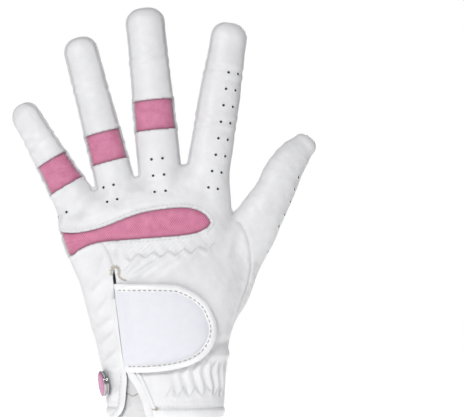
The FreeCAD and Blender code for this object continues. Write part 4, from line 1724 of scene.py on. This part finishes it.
# name, place and target in metres, size, power
LIGHTS = [
    ("key", (-0.45, -1.2, 0.8), (0, 0, 0.11), 0.5, 12.3),
    ("fill", (0.7, -1.0, -0.1), (0, 0, 0.06), 0.6, 0.6),
    ("rear", (0.35, 1.2, 0.55), (0, 0, 0.1), 0.5, 7.0),
]


def make_camera():
    data = bpy.data.cameras.new("camera")
    data.sensor_width = SENSOR_WIDTH
    data.lens = SENSOR_WIDTH * CAMERA_DISTANCE / VIEW_WIDTH
    data.clip_start = 0.05
    data.clip_end = 20.0
    obj = bpy.data.objects.new("camera", data)
    scene.collection.objects.link(obj)
    obj.location = metres((VIEW_CENTRE[0], -CAMERA_DISTANCE - 8, VIEW_CENTRE[1]))
    obj.rotation_euler = (math.radians(90), 0, 0)
    scene.camera = obj


def add_light(name, place, target, size, power):
    data = bpy.data.lights.new(name, "AREA")
    data.shape = "DISK"
    data.size = size
    data.energy = power
    obj = bpy.data.objects.new(name, data)
    scene.collection.objects.link(obj)
    obj.location = place
    aim = Vector(target) - Vector(place)
    obj.rotation_euler = aim.to_track_quat("-Z", "Y").to_euler()


def make_floor():
    across = np.array([1.0, 0.0, 0.0])
    rim = turned_points([(FLOOR_RADIUS, FLOOR_HEIGHT)], np.zeros(3), UP, across, FLOOR_SIDES)
    material, _, _ = new_material("floor", (0.9, 0.9, 0.9), 0.9, Emission_Color=(1, 1, 1, 1),
                                  Emission_Strength=FLOOR_GLOW)
    floor = add_mesh("floor", rim, [list(range(FLOOR_SIDES))], material)


def make_world():
    """White to the camera, dimmer as a light."""
    world = bpy.data.worlds.new("studio")
    scene.world = world
    world.use_nodes = True
    tree = world.node_tree
    tree.nodes["Background"].inputs["Color"].default_value = (1, 1, 1, 1)
    tree.nodes["Background"].inputs["Strength"].default_value = WORLD_STRENGTH
    backdrop = node(tree, "ShaderNodeBackground", {"Color": (1, 1, 1, 1), "Strength": 1.0})
    path = node(tree, "ShaderNodeLightPath")
    mix = node(tree, "ShaderNodeMixShader", {0: path.outputs["Is Camera Ray"]})
    tree.links.new(tree.nodes["Background"].outputs[0], mix.inputs[1])
    tree.links.new(backdrop.outputs[0], mix.inputs[2])
    tree.links.new(mix.outputs[0], tree.nodes["World Output"].inputs["Surface"])
    scene.view_settings.view_transform = "Standard"


def main():
    make_camera()
    make_floor()
    make_world()
    for light in LIGHTS:
        add_light(*light)
    skin = Skin()
    make_panels(skin)
    make_tab()
    make_fastener_pads()
    make_slit_edges()
    make_gusset_zigzag()
    make_elastics()
    make_snap_and_marker()
    make_cuff_stitching(skin)
    make_panel_stitching(skin)
    make_bar_tacks(skin)
    make_tab_stitching()
    make_perforations(skin)


main()
